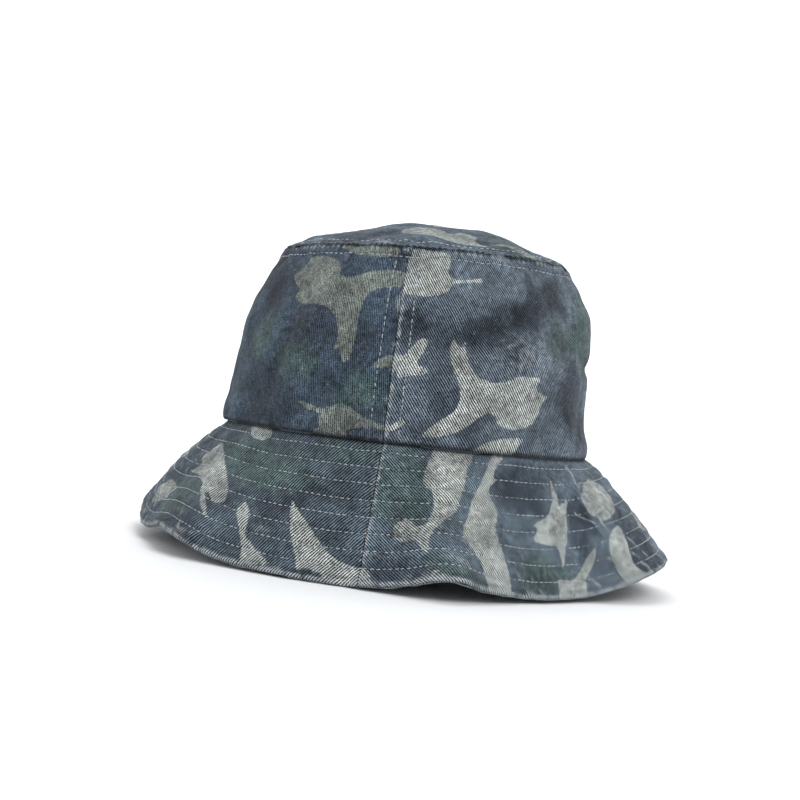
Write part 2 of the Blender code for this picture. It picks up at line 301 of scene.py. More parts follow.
def brim_relief(angle, along):
    """Height of the brim's relief: grooves of thread, ripples between them, seams, edge, creases."""
    points = plain_brim(angle, along)
    seam = side_seam_distance(angle, CROWN_BASE[1] + 0.45 * along)
    row_share = (along - FIRST_ROW) / ROW_PITCH
    from_row = np.abs(row_share - np.clip(np.round(row_share), 0, STITCH_ROWS - 1)) * ROW_PITCH
    between = ramp(from_row, 0.3, 3.0)
    relief = 0.40 * ramp(np.abs(seam), SIDE_ROW + 1.0, SIDE_ROW - 0.6)
    relief += 0.30 * ramp(along, BRIM_WIDTH - 8.0, BRIM_WIDTH - 5.5)
    relief += np.where(np.cos(np.radians(angle)) > 0, 0.30, -0.25) * bell(seam, 3.0)
    relief -= 0.34 * bell(from_row, 0.8)
    relief += between * (0.10 + 0.20 * wander(points, 5.2, 11) + 0.22 * wander(points, 9.0, 12))
    relief += 0.30 * wander(points, 16.0, 13) + 0.7 * wander(points, 42.0, 14)
    relief += 0.25 * wander(points * (1, 1, 0.4), 8.0, 15) * bell(along - BRIM_WIDTH, 6.0)
    relief += creased(angle, along, BRIM_CREASES, ROUND_BRIM) + bow(angle, along)
    return relief * ramp(along, -1.0, 6.0) + 0.0 * along


def on_table(points, lowest):
    """Points that would be under the table are lifted onto it, as the brim's edge is."""
    return np.stack([points[..., 0], points[..., 1], np.maximum(points[..., 2], lowest)], axis=-1)


def brim_face(angle, along):
    """Upper face of the brim."""
    normal = probe_normal(plain_brim, angle, along)
    return on_table(plain_brim(angle, along) + normal * brim_relief(angle, along)[..., None], 0.9)


def brim_layer(angle, along, depth, fine):
    """A layer under the brim's upper face, with a share of its relief."""
    normal = probe_normal(plain_brim, angle, along)
    points = plain_brim(angle, along)
    coarse = 0.7 * wander(points, 42.0, 14) + creased(angle, along, BRIM_CREASES, ROUND_BRIM)
    coarse = coarse + bow(angle, along)
    row_share = (along - FIRST_ROW) / ROW_PITCH
    from_row = np.abs(row_share - np.clip(np.round(row_share), 0, STITCH_ROWS - 1)) * ROW_PITCH
    ripple = -ramp(from_row, 0.3, 3.0) * (0.1 + 0.22 * wander(points, 6.0, 21)) + 0.34 * bell(from_row, 0.8)
    height = coarse * ramp(along, -1.0, 6.0) + fine * ripple - depth
    return points + normal * height[..., None]


def under_face(angle, along):
    """Lower face of the brim, which ripples between the same rows."""
    return on_table(brim_layer(angle, along, UNDER_DEPTH + 0.1, 1.0), 0.2)


# %% [markdown]
# ## The top's relief
# The oval top has the same raised band inside its seam, and sags in soft hollows.

# %% Folds of the top
TOP_CREASES = ((-120, 30, -160, 44, 8.0, -0.8), (-40, 24, 10, 40, 9.0, -0.7), (60, 20, 120, 46, 8.0, -0.9))


def dome_relief(angle, share):
    """Height of the top panel's relief."""
    points = plain_dome(angle, share)
    inside = (1 - share + 0 * angle) * CROWN_TOP[1]
    relief = 0.40 * ramp(inside, TOP_ROW + 1.0, TOP_ROW - 0.4) - 0.34 * bell(inside - TOP_ROW, 0.6)
    relief += 0.16 * np.cos(np.radians(angle) * 150) * bell(inside, 2.5)
    relief += 0.45 * wander(points, 10.0, 31) * bell(inside - 3, 10.0)
    away = ramp(inside, 0.0, 12.0)
    relief += 0.7 * bell(inside - 9, 7.0)
    relief += away * (0.8 * wander(points, 34.0, 32) + 0.28 * wander(points, 13.0, 33))
    relief += away * creased(angle, share * CROWN_TOP[1], TOP_CREASES, 40.0)
    return relief + 0.06 * wander(points, 5.0, 34)


def dome_face(angle, share):
    """Outer face of the top panel."""
    normal = probe_normal(plain_dome, angle, share, 1.0, 0.4, 0.004)
    return plain_dome(angle, share) + normal * dome_relief(angle, share)[..., None]


# %% [markdown]
# ## The printed camouflage
# The print is four colours. Its pale shapes have crisp edges, and the others melt into each other
# after many washes. Each pale shape is an outline in millimetres on the flat cloth, with its
# corners cut twice to round them. A vertex stores how far inside the nearest outline it is, and
# the material puts the edge where that distance is nought, which stays sharp on a coarse mesh.

# %% Outlines of the print
PRINT = {
    "antler": ((-72, 76), (-66, 72), (-60, 69), (-62, 64), (-52, 61), (-43, 62), (-36, 60),
               (-31, 56), (-28, 48), (-29, 40), (-26, 42), (-23, 34), (-20, 38), (-19, 46),
               (-20, 60), (-18, 69), (-13, 72), (-5, 73), (6, 74), (6, 80), (-7, 81), (-18, 80),
               (-27, 77), (-36, 76), (-37, 80), (-40, 84), (-49, 86), (-62, 86), (-64, 81)),
    "strip": ((-44, 92), (-35, 88), (-13, 87), (-5, 90), (-6, 94), (-24, 94)),
    "block": ((2, 94), (24, 92), (23, 86), (22, 82), (26, 80), (34, 81), (42, 83), (41, 80),
              (34, 80), (25, 78), (23, 74), (20, 72), (13, 70), (0, 70), (1, 77), (8, 78), (8, 80), (1, 81)),
    "leaf": ((-10, 34), (-7, 38), (-1, 41), (5, 41), (8, 46), (11, 50), (15, 51), (14, 45), (10, 38),
             (16, 36), (15, 33), (8, 32), (3, 30), (2, 36), (-5, 34)),
    "fish": ((-44, 15), (-38, 14), (-31, 12), (-26, 14), (-22, 16), (-16, 14), (-11, 11), (-3, 8),
             (3, 8), (7, 12), (9, 10), (3, 5), (-5, 6), (-14, 5), (-17, 3), (-16, -3), (-30, -3),
             (-33, 1), (-29, 4), (-31, 8), (-29, 10), (-37, 11)),
    "whale": ((27, 53), (29, 49), (31, 48), (33, 52), (33, 46), (35, 40), (39, 35), (46, 33),
              (53, 34), (58, 37), (66, 38), (73, 38), (70, 34), (71, 31), (79, 30), (75, 26),
              (73, 20), (71, 16), (65, 13), (57, 12), (50, 14), (49, 18), (46, 19), (42, 17),
              (37, 12), (31, 8), (23, 5), (16, 4), (18, 8), (25, 14), (30, 18), (32, 24),
              (30, 32), (27, 39), (25, 46)),
    "hem_leaf": ((36, -3), (43, 4), (51, 7), (65, 9), (63, 4), (58, -3)),
    "chip": ((-92, 0), (-72, -1), (-69, 4), (-74, 8), (-83, 7)),
    "thorn": ((-106, 14), (-93, 21), (-83, 28), (-74, 37), (-71, 44), (-76, 47), (-83, 43), (-85, 44),
              (-79, 49), (-74, 56), (-80, 52), (-88, 45), (-90, 40), (-105, 36), (-124, 35),
              (-112, 30), (-122, 24), (-114, 19)),
    "scrap": ((-136, 42), (-119, 47), (-127, 54), (-148, 60), (-146, 50)),
    "drop": ((-62, 40), (-57, 44), (-55, 50), (-54, 56), (-46, 62), (-37, 67), (-51, 70), (-53, 62),
             (-59, 52), (-64, 46)),
    "wedge": ((-39, 34), (-34, 39), (-27, 45), (-21, 51), (-15, 57), (-7, 61), (4, 63), (6, 74),
              (-10, 74), (-16, 67), (-23, 65), (-26, 68), (-29, 60), (-34, 50), (-37, 42)),
    "branch": ((28, -2), (52, -2), (46, 8), (42, 20), (38, 33), (31, 40), (26, 46), (25, 58),
               (22, 52), (20, 49), (16, 50), (11, 47), (12, 40), (16, 37), (21, 42), (25, 40),
               (28, 32), (27, 24), (22, 19), (24, 10)),
    "river": ((72, -4), (60, 10), (61, 14), (56, 18), (57, 24), (60, 29), (57, 38), (58, 46),
              (59, 54), (60, 62), (60, 74), (49, 74), (48, 61), (45, 54), (40, 47), (40, 41),
              (44, 33), (46, 26), (52, 16), (58, 6), (64, -4)),
    "flame": ((101, 8), (102, 19), (101, 25), (111, 20), (104, 30), (102, 38), (98, 47), (92, 58),
              (94, 45), (86, 44), (78, 42), (83, 37), (80, 34), (91, 30), (97, 21)),
    "root": ((117, 47), (114, 55), (106, 62), (103, 74), (86, 74), (88, 64), (88, 61), (98, 62),
             (106, 56), (111, 51)),
    "pebble": ((127, 14), (141, 11), (149, 18), (148, 28), (136, 35), (127, 36), (120, 30), (120, 21)),
    "slab": ((128, 42), (137, 40), (135, 50), (131, 61), (134, 72), (125, 73), (122, 64), (122, 51)),
    "spot": ((28, 64), (32, 71), (25, 71)),
    "cloud": ((-10, -52), (-2, -44), (12, -41), (18, -46), (24, -40), (35, -44), (34, -52), (44, -62),
              (20, -66), (-6, -62)),
    "streak": ((30, -52), (44, -48), (62, -50), (72, -42), (60, -41), (42, -43)),
}


def in_place(*names):
    """Shapes that lie where their outlines are: not moved or turned, at full size."""
    return tuple((name, 0, 0, 0, 1) for name in names)


# What each panel carries: a shape, how far it is moved along and down the cloth, its turn and size.
CROWN_PRINT = in_place("antler", "strip", "block", "leaf", "fish", "whale", "hem_leaf")
CROWN_PRINT += (("antler", 218, -30, 150, 1), ("leaf", 168, 34, 40, 1), ("fish", 192, -2, 12, 1),
               ("whale", 196, 24, 200, 0.9), ("leaf", 262, -8, 120, 1.1),
               ("whale", -226, -6, 20, 1), ("antler", -162, -8, 190, 1),
               ("block", -226, 2, 0, 1), ("fish", -172, 0, -8, 1),
               ("fish", -236, 42, 160, 1.1), ("antler", 296, 4, 60, 0.9), ("leaf", -254, -12, 10, 1.3))
BRIM_PRINT = in_place("chip", "thorn", "scrap", "drop", "wedge", "branch", "river", "flame",
                      "root", "pebble", "slab", "spot")
BRIM_PRINT += (("branch", 148, 2, 10, 1), ("wedge", 236, -4, 30, 1), ("flame", 130, 6, 160, 1),
              ("river", 206, 0, 10, 1), ("drop", 342, -14, 20, 1.3), ("thorn", 392, 0, 180, 1),
              ("branch", 296, 8, 190, 1), ("flame", -262, 0, 20, 1), ("river", -262, 0, 180, 1),
              ("wedge", -206, -8, 140, 1), ("branch", -272, 6, -20, 1), ("drop", -180, -20, 60, 1.3),
              ("thorn", -170, 4, 170, 1.1), ("river", -352, 0, 0, 1), ("wedge", -300, 0, 0, 1))
TOP_PRINT = (("cloud", -3, 7, 0, 0.85), ("streak", 2, 4, 0, 0.9), ("whale", -70, -20, 30, 1.0),
             ("antler", 62, -62, 10, 0.9), ("leaf", 6, -46, 60, 1.4), ("block", -42, -42, 100, 1.2),
             ("fish", 34, 32, 150, 1.1))
# Soft-edged patches of the darker colours: colour, place along and down, half sizes and turn.
CROWN_PATCHES = (("green", -78, 44, 12, 9, 20), ("green", -12, 22, 12, 8, 10),
                 ("green", 122, 62, 18, 22, -10),
                 # The dark patches at 74, 71 and 42, 57 follow the deep fold of the front panel: dark print,
                 # partly painted shade of the fold.
                 ("green", 92, 58, 14, 9, 10), ("green", -50, 34, 12, 8, 0), ("dark", 74, 71, 26, 7, 27),
                 ("dark", -46, 48, 16, 14, 30), ("dark", 42, 57, 20, 8, 36), ("dark", 100, 30, 13, 16, 0),
                 ("dark", 8, 56, 8, 10, 0), ("dark", -16, 46, 10, 8, 0), ("dark", -62, 4, 22, 6, 0),
                 ("dark", -70, 22, 15, 12, -20), ("dark", 30, 20, 13, 10, 0), ("dark", -100, 74, 15, 9, 0),
                 ("dark", 88, 78, 18, 8, -10), ("green", 180, 30, 26, 16, 20), ("dark", 205, 66, 22, 13, -30),
                 ("green", 246, 60, 16, 24, 0), ("dark", 150, 18, 17, 12, 15),
                 ("green", -150, 62, 24, 14, 10),
                 ("dark", -196, 34, 18, 22, 0), ("green", -226, 66, 24, 13, -15),
                 ("dark", -250, 22, 20, 14, 0),
                 # The dark patch at -80, 68 is painted shade: it darkens the upper rear, which the sheen and
                 # the light from the left make lighter.
                 ("dark", -128, 12, 16, 12, 0), ("dark", -80, 68, 15, 10, 0), ("dark", 122, 12, 13, 10, 0))
BRIM_PATCHES = (("green", -66, 20, 34, 12, 6), ("green", -104, 50, 17, 16, 0), ("green", 14, 22, 17, 18, 0),
                ("green", 80, 62, 17, 13, 0), ("green", 36, 68, 9, 10, 0), ("green", -16, 6, 15, 6, 0),
                ("dark", -50, 34, 15, 9, 20), ("dark", 76, 16, 17, 12, 0), ("dark", 12, 64, 16, 7, 0),
                ("dark", 140, 56, 16, 18, 0), ("dark", -92, 62, 17, 8, 0), ("dark", 112, 34, 9, 14, 0),
                ("green", 190, 30, 26, 20, 0), ("dark", 240, 50, 26, 13, 0), ("green", 300, 20, 25, 15, 0),
                ("dark", -180, 26, 22, 17, 0), ("green", -220, 52, 27, 14, 0), ("dark", -290, 24, 24, 14, 0),
                ("green", -330, 50, 20, 18, 0))
TOP_PATCHES = (("dark", 24, -48, 20, 9, 0), ("green", 48, -40, 15, 9, -20), ("dark", -30, -52, 20, 10, 20),
               ("green", -40, -10, 20, 15, 0), ("dark", 10, 0, 24, 13, 30), ("green", 30, 34, 22, 12, 0),
               ("dark", -36, 36, 18, 12, 0))


def rounded(points, rounds=2):
    """Corner cutting: each corner is swapped for two points, a little way along its sides."""
    shape = np.array(points, float)
    for _ in range(rounds):
        after = np.roll(shape, -1, axis=0)
        shape = np.stack([0.85 * shape + 0.15 * after, 0.15 * shape + 0.85 * after], axis=1).reshape(-1, 2)
    return shape


def moved(points, along, up, turn, size):
    """A shape turned and resized about its own middle, then moved."""
    shape = rounded(points)
    middle = shape.mean(axis=0)
    c, s = np.cos(np.radians(turn)), np.sin(np.radians(turn))
    return (shape - middle) @ np.array([[c, s], [-s, c]]) * size + middle + (along, up)


def inside_distance(u, v, shape):
    """Signed distance to an outline: the nearest side's, positive where a ray crosses it oddly."""
    nearest, crossings = np.full(u.shape, 1e9), np.zeros(u.shape, bool)
    near = ((u > shape[:, 0].min() - 9) & (u < shape[:, 0].max() + 9)
            & (v > shape[:, 1].min() - 9) & (v < shape[:, 1].max() + 9))
    x, y = u[near], v[near]
    close, odd = np.full(x.shape, 1e9), np.zeros(x.shape, bool)
    for (x0, y0), (x1, y1) in zip(shape, np.roll(shape, -1, axis=0)):
        dx, dy = x1 - x0, y1 - y0
        share = np.clip(((x - x0) * dx + (y - y0) * dy) / (dx * dx + dy * dy + 1e-12), 0, 1)
        close = np.minimum(close, np.hypot(x - x0 - share * dx, y - y0 - share * dy))
        odd ^= ((y0 > y) != (y1 > y)) & (x < x0 + (y - y0) * dx / (dy if dy else 1e-12))
    nearest[near], crossings[near] = close, odd
    return np.where(crossings, nearest, -nearest)


def printed(u, v, placements):
    """Distance inside the nearest pale shape, cut off at 8 mm either way."""
    total = np.full(u.shape, -8.0)
    for name, along, up, turn, size in placements:
        total = np.maximum(total, inside_distance(u, v, moved(PRINT[name], along, up, turn, size)))
    return np.clip(total, -8.0, 8.0)


def patched(u, v, patches, colour):
    """Rough distance inside the nearest patch of a colour: an ellipse's, in mm."""
    total = np.full(u.shape, -12.0)
    for name, along, up, half_u, half_v, turn in patches:
        if name == colour:
            c, s = np.cos(np.radians(turn)), np.sin(np.radians(turn))
            x, y = (u - along) * c + (v - up) * s, (v - up) * c - (u - along) * s
            total = np.maximum(total, (1 - np.hypot(x / half_u, y / half_v)) * min(half_u, half_v))
    return np.clip(total, -12.0, 12.0)


print("print shapes:", len(PRINT), "placed:", len(CROWN_PRINT) + len(BRIM_PRINT) + len(TOP_PRINT))

# %% [markdown]
# ## From a grid of points to a piece of cloth
# A panel is a grid: rows round the hat, columns down it. Its edges are turned in, as a seam turns
# them, by adding a few rows on an arc. A second grid, one cloth's thickness behind the first,
# makes the back, and strips along the four sides close it into one solid.

# %% Sheets of cloth
def grid_normals(points, around=False):
    """Normals of a grid: its downward direction crossed with its direction round the hat."""
    if around:
        points = np.concatenate([points[-2:], points, points[:2]])
    down, turn = np.gradient(points, axis=1), np.gradient(points, axis=0)
    normals = unit(np.cross(down, turn))
    return normals[2:-2] if around else normals


WORN, GROOVE_SHADE = 5, 6                # places of these marks after the two of the flat cloth


def rolled(points, places, side, radius, turn, shade=1.0, rings=6, around=False):
    """The grid with one side turned in: an arc round a centre one radius behind the cloth.

    A negative radius with a negative turn rolls it the other way, towards the face.
    """
    axis, last = {"top": (1, False), "bottom": (1, True), "start": (0, False), "end": (0, True)}[side]
    normals = grid_normals(points, around)
    grids = [np.moveaxis(grid, axis, 0) for grid in (points, places, normals)]
    if not last:
        grids = [grid[::-1] for grid in grids]
    points, places, normals = grids
    along = unit(points[-1] - points[-2])
    normal = unit(normals[-1] - np.sum(normals[-1] * along, axis=-1, keepdims=True) * along)
    step = np.linalg.norm(points[-1] - points[-2], axis=-1, keepdims=True)
    bends = np.radians(turn) * np.arange(1, rings + 1)[:, None, None] / rings
    centre = points[-1] - radius * normal
    arc = centre + radius * (np.cos(bends) * normal + np.sin(bends) * along)
    further = places[-1] + (places[-1] - places[-2]) / step * radius * bends
    further[..., WORN:] = places[-1][..., WORN:]
    # Painted shade: the roll darkens as it turns into the seam.
    further[..., GROOVE_SHADE] = np.clip(further[..., GROOVE_SHADE] + shade * bends[..., 0] / bends.max(), 0.0, 1.0)
    grids = [np.concatenate([points, arc]), np.concatenate([places, further])]
    if not last:
        grids = [grid[::-1] for grid in grids]
    return [np.ascontiguousarray(np.moveaxis(grid, 0, axis)) for grid in grids]


def write_mesh(name, vertices, faces):
    """A mesh from arrays: faces is a list of arrays, each of faces with one number of corners."""
    mesh = bpy.data.meshes.new(name)
    corners = np.concatenate([part.reshape(-1) for part in faces])
    sizes = np.concatenate([np.full(len(part), part.shape[1]) for part in faces])
    mesh.vertices.add(len(vertices))
    mesh.vertices.foreach_set("co", (vertices * MM).astype(np.float32).reshape(-1))
    mesh.loops.add(len(corners))
    mesh.loops.foreach_set("vertex_index", corners.astype(np.int32))
    mesh.polygons.add(len(sizes))
    mesh.polygons.foreach_set("loop_start", np.concatenate([[0], np.cumsum(sizes)[:-1]]).astype(np.int32))
    mesh.polygons.foreach_set("loop_total", sizes.astype(np.int32))
    mesh.polygons.foreach_set("use_smooth", np.ones(len(sizes), bool))
    mesh.update(calc_edges=True)
    mesh.validate()
    return mesh


def add_marks(mesh, marks, cloth_uv):
    """Stores named values on the vertices, and the place on the flat cloth as a UV map in dm."""
    for key, values in marks.items():
        attribute = mesh.attributes.new(key, "FLOAT", "POINT")
        attribute.data.foreach_set("value", np.ascontiguousarray(values, np.float32).reshape(-1))
    corners = np.zeros(len(mesh.loops), np.int32)
    mesh.loops.foreach_get("vertex_index", corners)
    layer = mesh.uv_layers.new(name="cloth")
    layer.data.foreach_set("uv", (cloth_uv[corners] / 100.0).astype(np.float32).reshape(-1))


def add_piece(name, mesh, material, nodes, body="hat"):
    """An object for a mesh, with its material, riding on a body and standing for its CAD nodes."""
    piece = bpy.data.objects.new(name, mesh)
    bpy.context.scene.collection.objects.link(piece)
    mesh.materials.append(material)
    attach(piece, body)
    if nodes:
        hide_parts(*nodes)
    return piece


def strip(first, second, around=False):
    """Quads between two lines of vertex numbers."""
    count = len(first) if around else len(first) - 1
    after = np.roll(first, -1)[:count], np.roll(second, -1)[:count]
    return np.stack([first[:count], second[:count], after[1], after[0]], axis=1)


def cloth_mesh(name, points, thickness, around=False, capped=False):
    """A closed sheet: the grid as its face, a copy one thickness behind as its back, and rims."""
    rows, columns = points.shape[:2]
    back_points = points - thickness * grid_normals(points, around)
    vertices = np.concatenate([points.reshape(-1, 3), back_points.reshape(-1, 3)])
    face = np.arange(rows * columns).reshape(rows, columns)
    back = face + rows * columns
    quads, extra = [], []
    for column in range(columns - 1):
        quads.append(strip(face[:, column], face[:, column + 1], around))
        quads.append(strip(back[:, column + 1], back[:, column], around))
    quads.append(strip(face[:, -1], back[:, -1], around))
    if capped:
        vertices = np.concatenate([vertices, points[:, 0].mean(axis=0, keepdims=True),
                                   back_points[:, 0].mean(axis=0, keepdims=True)])
        top, under = np.full(rows, len(vertices) - 2), np.full(rows, len(vertices) - 1)
        extra = [np.stack([top, face[:, 0], np.roll(face[:, 0], -1)], axis=1),
                 np.stack([under, np.roll(back[:, 0], -1), back[:, 0]], axis=1)]
    else:
        quads.append(strip(back[:, 0], face[:, 0], around))
    if not around:
        quads += [strip(back[0], face[0]), strip(face[-1], back[-1])]
    return write_mesh(name, vertices, [np.concatenate(quads)] + extra)


def doubled(values, capped=False):
    """Values of a grid's face repeated for its back, and for the two middle vertices of a cap."""
    flat = values.reshape(-1, *values.shape[2:])
    middle = [values[:, 0].mean(axis=0)[None]] * 2 if capped else []
    return np.concatenate([flat, flat] + middle)


def reverse_mark(points, capped=False):
    """One on the back of the cloth and nought on its face."""
    count = points.shape[0] * points.shape[1]
    return np.concatenate([np.zeros(count), np.ones(count), [0.0, 1.0] if capped else []])

# %% [markdown]
# ## Finishes
# Each finish is a tree of shader nodes. One function adds a node and fills in its settings and
# links. Colours are written as sRGB codes, as a dyer's card would give them, and turned linear.
# The cloth's own UV map is in decimetres, so a scale of 100 makes a pattern of about 1 mm.

# %% Helpers for finishes
def linear(code):
    """An sRGB code as the linear colour that shaders use."""
    channels = [int(code[start:start + 2], 16) / 255 for start in (0, 2, 4)]
    return tuple(c / 12.92 if c <= 0.04045 else ((c + 0.055) / 1.055) ** 2.4 for c in channels) + (1.0,)


def node(tree, kind, inputs=None, **settings):
    """Adds a shader node with its settings. An input is a value, or another node's output."""
    made = tree.nodes.new("ShaderNode" + kind)
    for key, value in settings.items():
        setattr(made, key, value)
    for key, value in (inputs or {}).items():
        if isinstance(value, bpy.types.NodeSocket):
            tree.links.new(value, made.inputs[key])
        else:
            made.inputs[key].default_value = value
    return made.outputs


def new_finish(name):
    material = bpy.data.materials.new(name)
    material.use_nodes = True
    material.node_tree.nodes.clear()
    return material, material.node_tree


WAVE_PERIOD = 0.3142   # one band of a Wave texture whose scale is 1


# %% [markdown]
# ## Printed twill
# Twill has fine diagonal ridges. Pigment print sits on the ridges, and washing and rubbing wear it off there
# first, so every colour is a mix of a dark valley and a faded ridge. Seams and edges are rubbed palest of
# all. Each panel is cut at its own angle to the weave and has faded by its own amount, so each has its own
# lean, pitch and ground colour. The rear side panel's colours are darker still, partly with painted shade.
# Seams, grooves and crease hollows get painted shade from a mark of their own. Real twill lines are about 0.8
# mm apart. Here they are 0.9 to 1.25 mm apart, so that they show.

# %% Camouflage twill
def camouflage_twill(name, lean, pitch, ridges, ground_code, pale_code):
    """Washed cotton twill, piece-printed: matt, with ridges of a lean in degrees, pitch in mm and depth."""
    material, tree = new_finish(name)
    cloth = node(tree, "UVMap", uv_map="cloth")[0]
    solid = node(tree, "TexCoord")["Object"]
    grain = node(tree, "Mapping", {"Vector": cloth, "Rotation": (0, 0, np.radians(90 - lean))})[0]
    wave = node(tree, "TexWave", {"Vector": grain, "Scale": WAVE_PERIOD * 100 / pitch,
                                   "Distortion": 1.1, "Detail": 2.0, "Detail Scale": 1.6})["Fac"]
    lines = node(tree, "MapRange", {0: wave, 1: 0.15, 2: 0.85}, interpolation_type="SMOOTHSTEP")[0]
    drawn = node(tree, "Mapping", {"Vector": grain, "Scale": (1.0, 0.32, 1.0)})[0]
    yarn = node(tree, "TexNoise", {"Vector": drawn, "Scale": 115.0, "Detail": 2.0, "Roughness": 0.6})[0]
    weft = node(tree, "Mapping", {"Vector": grain, "Scale": (0.22, 1.0, 1.0)})[0]
    slub = node(tree, "TexNoise", {"Vector": weft, "Scale": 150.0, "Detail": 1.0})[0]
    blotch = node(tree, "TexNoise", {"Vector": solid, "Scale": 62.0, "Detail": 4.0, "Roughness": 0.6})[0]
    melt = node(tree, "TexNoise", {"Vector": cloth, "Scale": 11.0, "Detail": 4.0, "Roughness": 0.65})[0]
    melt_dark = node(tree, "TexNoise", {"Vector": cloth, "Scale": 8.0, "Detail": 4.0, "Distortion": 0.4})[0]
    mottle = node(tree, "TexNoise", {"Vector": cloth, "Scale": 34.0, "Detail": 3.0, "Roughness": 0.7})[0]
    # Masks of the four colours: distances plus noise, cut with a soft or a crisp edge.
    ragged = node(tree, "Math", {0: yarn, 1: 1.6, 2: -0.8}, operation="MULTIPLY_ADD")[0]
    pale_edge = node(tree, "Math", {0: node(tree, "Attribute", attribute_name="khaki")["Fac"], 1: ragged},
                     operation="ADD")[0]
    pale = node(tree, "MapRange", {0: pale_edge, 1: -0.35, 2: 0.40}, interpolation_type="SMOOTHSTEP")[0]
    green_shift = node(tree, "Math", {0: melt, 1: 26.0, 2: -13.0}, operation="MULTIPLY_ADD")[0]
    green_edge = node(tree, "Math", {0: node(tree, "Attribute", attribute_name="green")["Fac"],
                                     1: green_shift}, operation="ADD")[0]
    green = node(tree, "MapRange", {0: green_edge, 1: -5.0, 2: 5.0, 4: 0.70},
                 interpolation_type="SMOOTHSTEP")[0]
    dark_shift = node(tree, "Math", {0: melt_dark, 1: 26.0, 2: -13.0}, operation="MULTIPLY_ADD")[0]
    dark_edge = node(tree, "Math", {0: node(tree, "Attribute", attribute_name="dark")["Fac"],
                                    1: dark_shift}, operation="ADD")[0]
    dark = node(tree, "MapRange", {0: dark_edge, 1: -5.0, 2: 5.0, 4: 0.80},
                interpolation_type="SMOOTHSTEP")[0]
    ground = node(tree, "Mix", {0: dark, 6: linear(ground_code), 7: linear("2C323C")}, data_type="RGBA")[2]
    ground = node(tree, "Mix", {0: green, 6: ground, 7: linear("41524F")}, data_type="RGBA")[2]
    print_colour = node(tree, "Mix", {0: pale, 6: ground, 7: linear(pale_code)}, data_type="RGBA")[2]
    # Washing: broad and fine blotches of strength, then ridges faded and valleys left dark.
    wash = node(tree, "MapRange", {0: blotch, 1: 0.30, 2: 0.70, 3: 0.52, 4: 1.50})[0]
    fine_wash = node(tree, "MapRange", {0: mottle, 1: 0.30, 2: 0.70, 3: 0.52, 4: 1.48})[0]
    wash = node(tree, "Math", {0: wash, 1: fine_wash}, operation="MULTIPLY")[0]
    grit = node(tree, "TexNoise", {"Vector": cloth, "Scale": 210.0, "Detail": 1.0})[0]
    grit = node(tree, "MapRange", {0: grit, 1: 0.32, 2: 0.68, 3: -0.42, 4: 0.42})[0]
    centred = node(tree, "MapRange", {0: lines, 3: 0.31 - ridges / 2, 4: 0.31 + ridges / 2})[0]
    ridge = node(tree, "Math", {0: centred, 1: grit}, operation="ADD")[0]
    ridge = node(tree, "Math", {0: yarn, 1: 1.15, 2: ridge}, operation="MULTIPLY_ADD")[0]
    shade = node(tree, "MapRange", {0: ridge, 1: 0.46, 2: 1.24, 3: 0.0, 4: 2.35})[0]
    shade = node(tree, "Math", {0: shade, 1: wash}, operation="MULTIPLY")[0]
    # Painted shade: a mark darkens seams, rows of stitching, rolled edges and crease hollows.
    groove_shade = node(tree, "MapRange", {0: node(tree, "Attribute", attribute_name="groove_shade")["Fac"],
                                    3: 1.0, 4: 0.22})[0]
    shade = node(tree, "Math", {0: shade, 1: groove_shade}, operation="MULTIPLY")[0]
    shaded = node(tree, "Mix", {0: 1.0, 6: print_colour, 7: shade}, data_type="RGBA",
                  blend_type="MULTIPLY")[2]
    # Wear: where an edge or a pucker is rubbed, the ridges lose their dye.
    rub = node(tree, "Math", {0: mottle, 1: 1.1, 2: -0.55}, operation="MULTIPLY_ADD")[0]
    rub = node(tree, "Math", {0: node(tree, "Attribute", attribute_name="worn")["Fac"], 1: rub},
               operation="ADD")[0]
    rub = node(tree, "MapRange", {0: rub, 1: 0.18, 2: 1.15}, interpolation_type="SMOOTHSTEP")[0]
    crest = node(tree, "MapRange", {0: ridge, 1: 0.50, 2: 1.15, 3: 0.05, 4: 1.0})[0]
    rub = node(tree, "Math", {0: rub, 1: crest}, operation="MULTIPLY")[0]
    # Painted shade also cuts dark lines through the rubbed places.
    rub = node(tree, "Math", {0: rub, 1: groove_shade}, operation="MULTIPLY")[0]
    rubbed = node(tree, "Mix", {0: rub, 6: shaded, 7: linear("BCC3C8")}, data_type="RGBA")[2]
    fleck = node(tree, "MapRange", {0: slub, 1: 0.70, 2: 0.78, 4: 0.40})[0]
    flecked = node(tree, "Mix", {0: fleck, 6: rubbed, 7: linear("B4BBC0")}, data_type="RGBA")[2]
    # The back of a print is the undyed yarn with a ghost of the colours.
    back = node(tree, "Attribute", attribute_name="reverse")["Fac"]
    back = node(tree, "Math", {0: back, 1: 0.55}, operation="MULTIPLY")[0]
    unprinted = node(tree, "Mix", {0: 1.0, 6: linear("8E979B"), 7: shade}, data_type="RGBA",
                     blend_type="MULTIPLY")[2]
    colour = node(tree, "Mix", {0: back, 6: flecked, 7: unprinted}, data_type="RGBA")[2]
    fuzz = node(tree, "TexNoise", {"Vector": solid, "Scale": 1600.0, "Detail": 2.0})[0]
    height = node(tree, "Math", {0: fuzz, 1: 0.45, 2: ridge}, operation="MULTIPLY_ADD")[0]
    bump = node(tree, "Bump", {"Height": height, "Strength": 0.9, "Distance": 0.00026})[0]
    rough = node(tree, "MapRange", {0: yarn, 3: 0.82, 4: 0.97})[0]
    shader = node(tree, "BsdfPrincipled", {"Base Color": colour, "Roughness": rough, "Normal": bump,
                                           "Specular IOR Level": 0.18, "Sheen Weight": 0.10,
                                           "Sheen Roughness": 0.45})[0]
    node(tree, "OutputMaterial", {"Surface": shader})
    return material


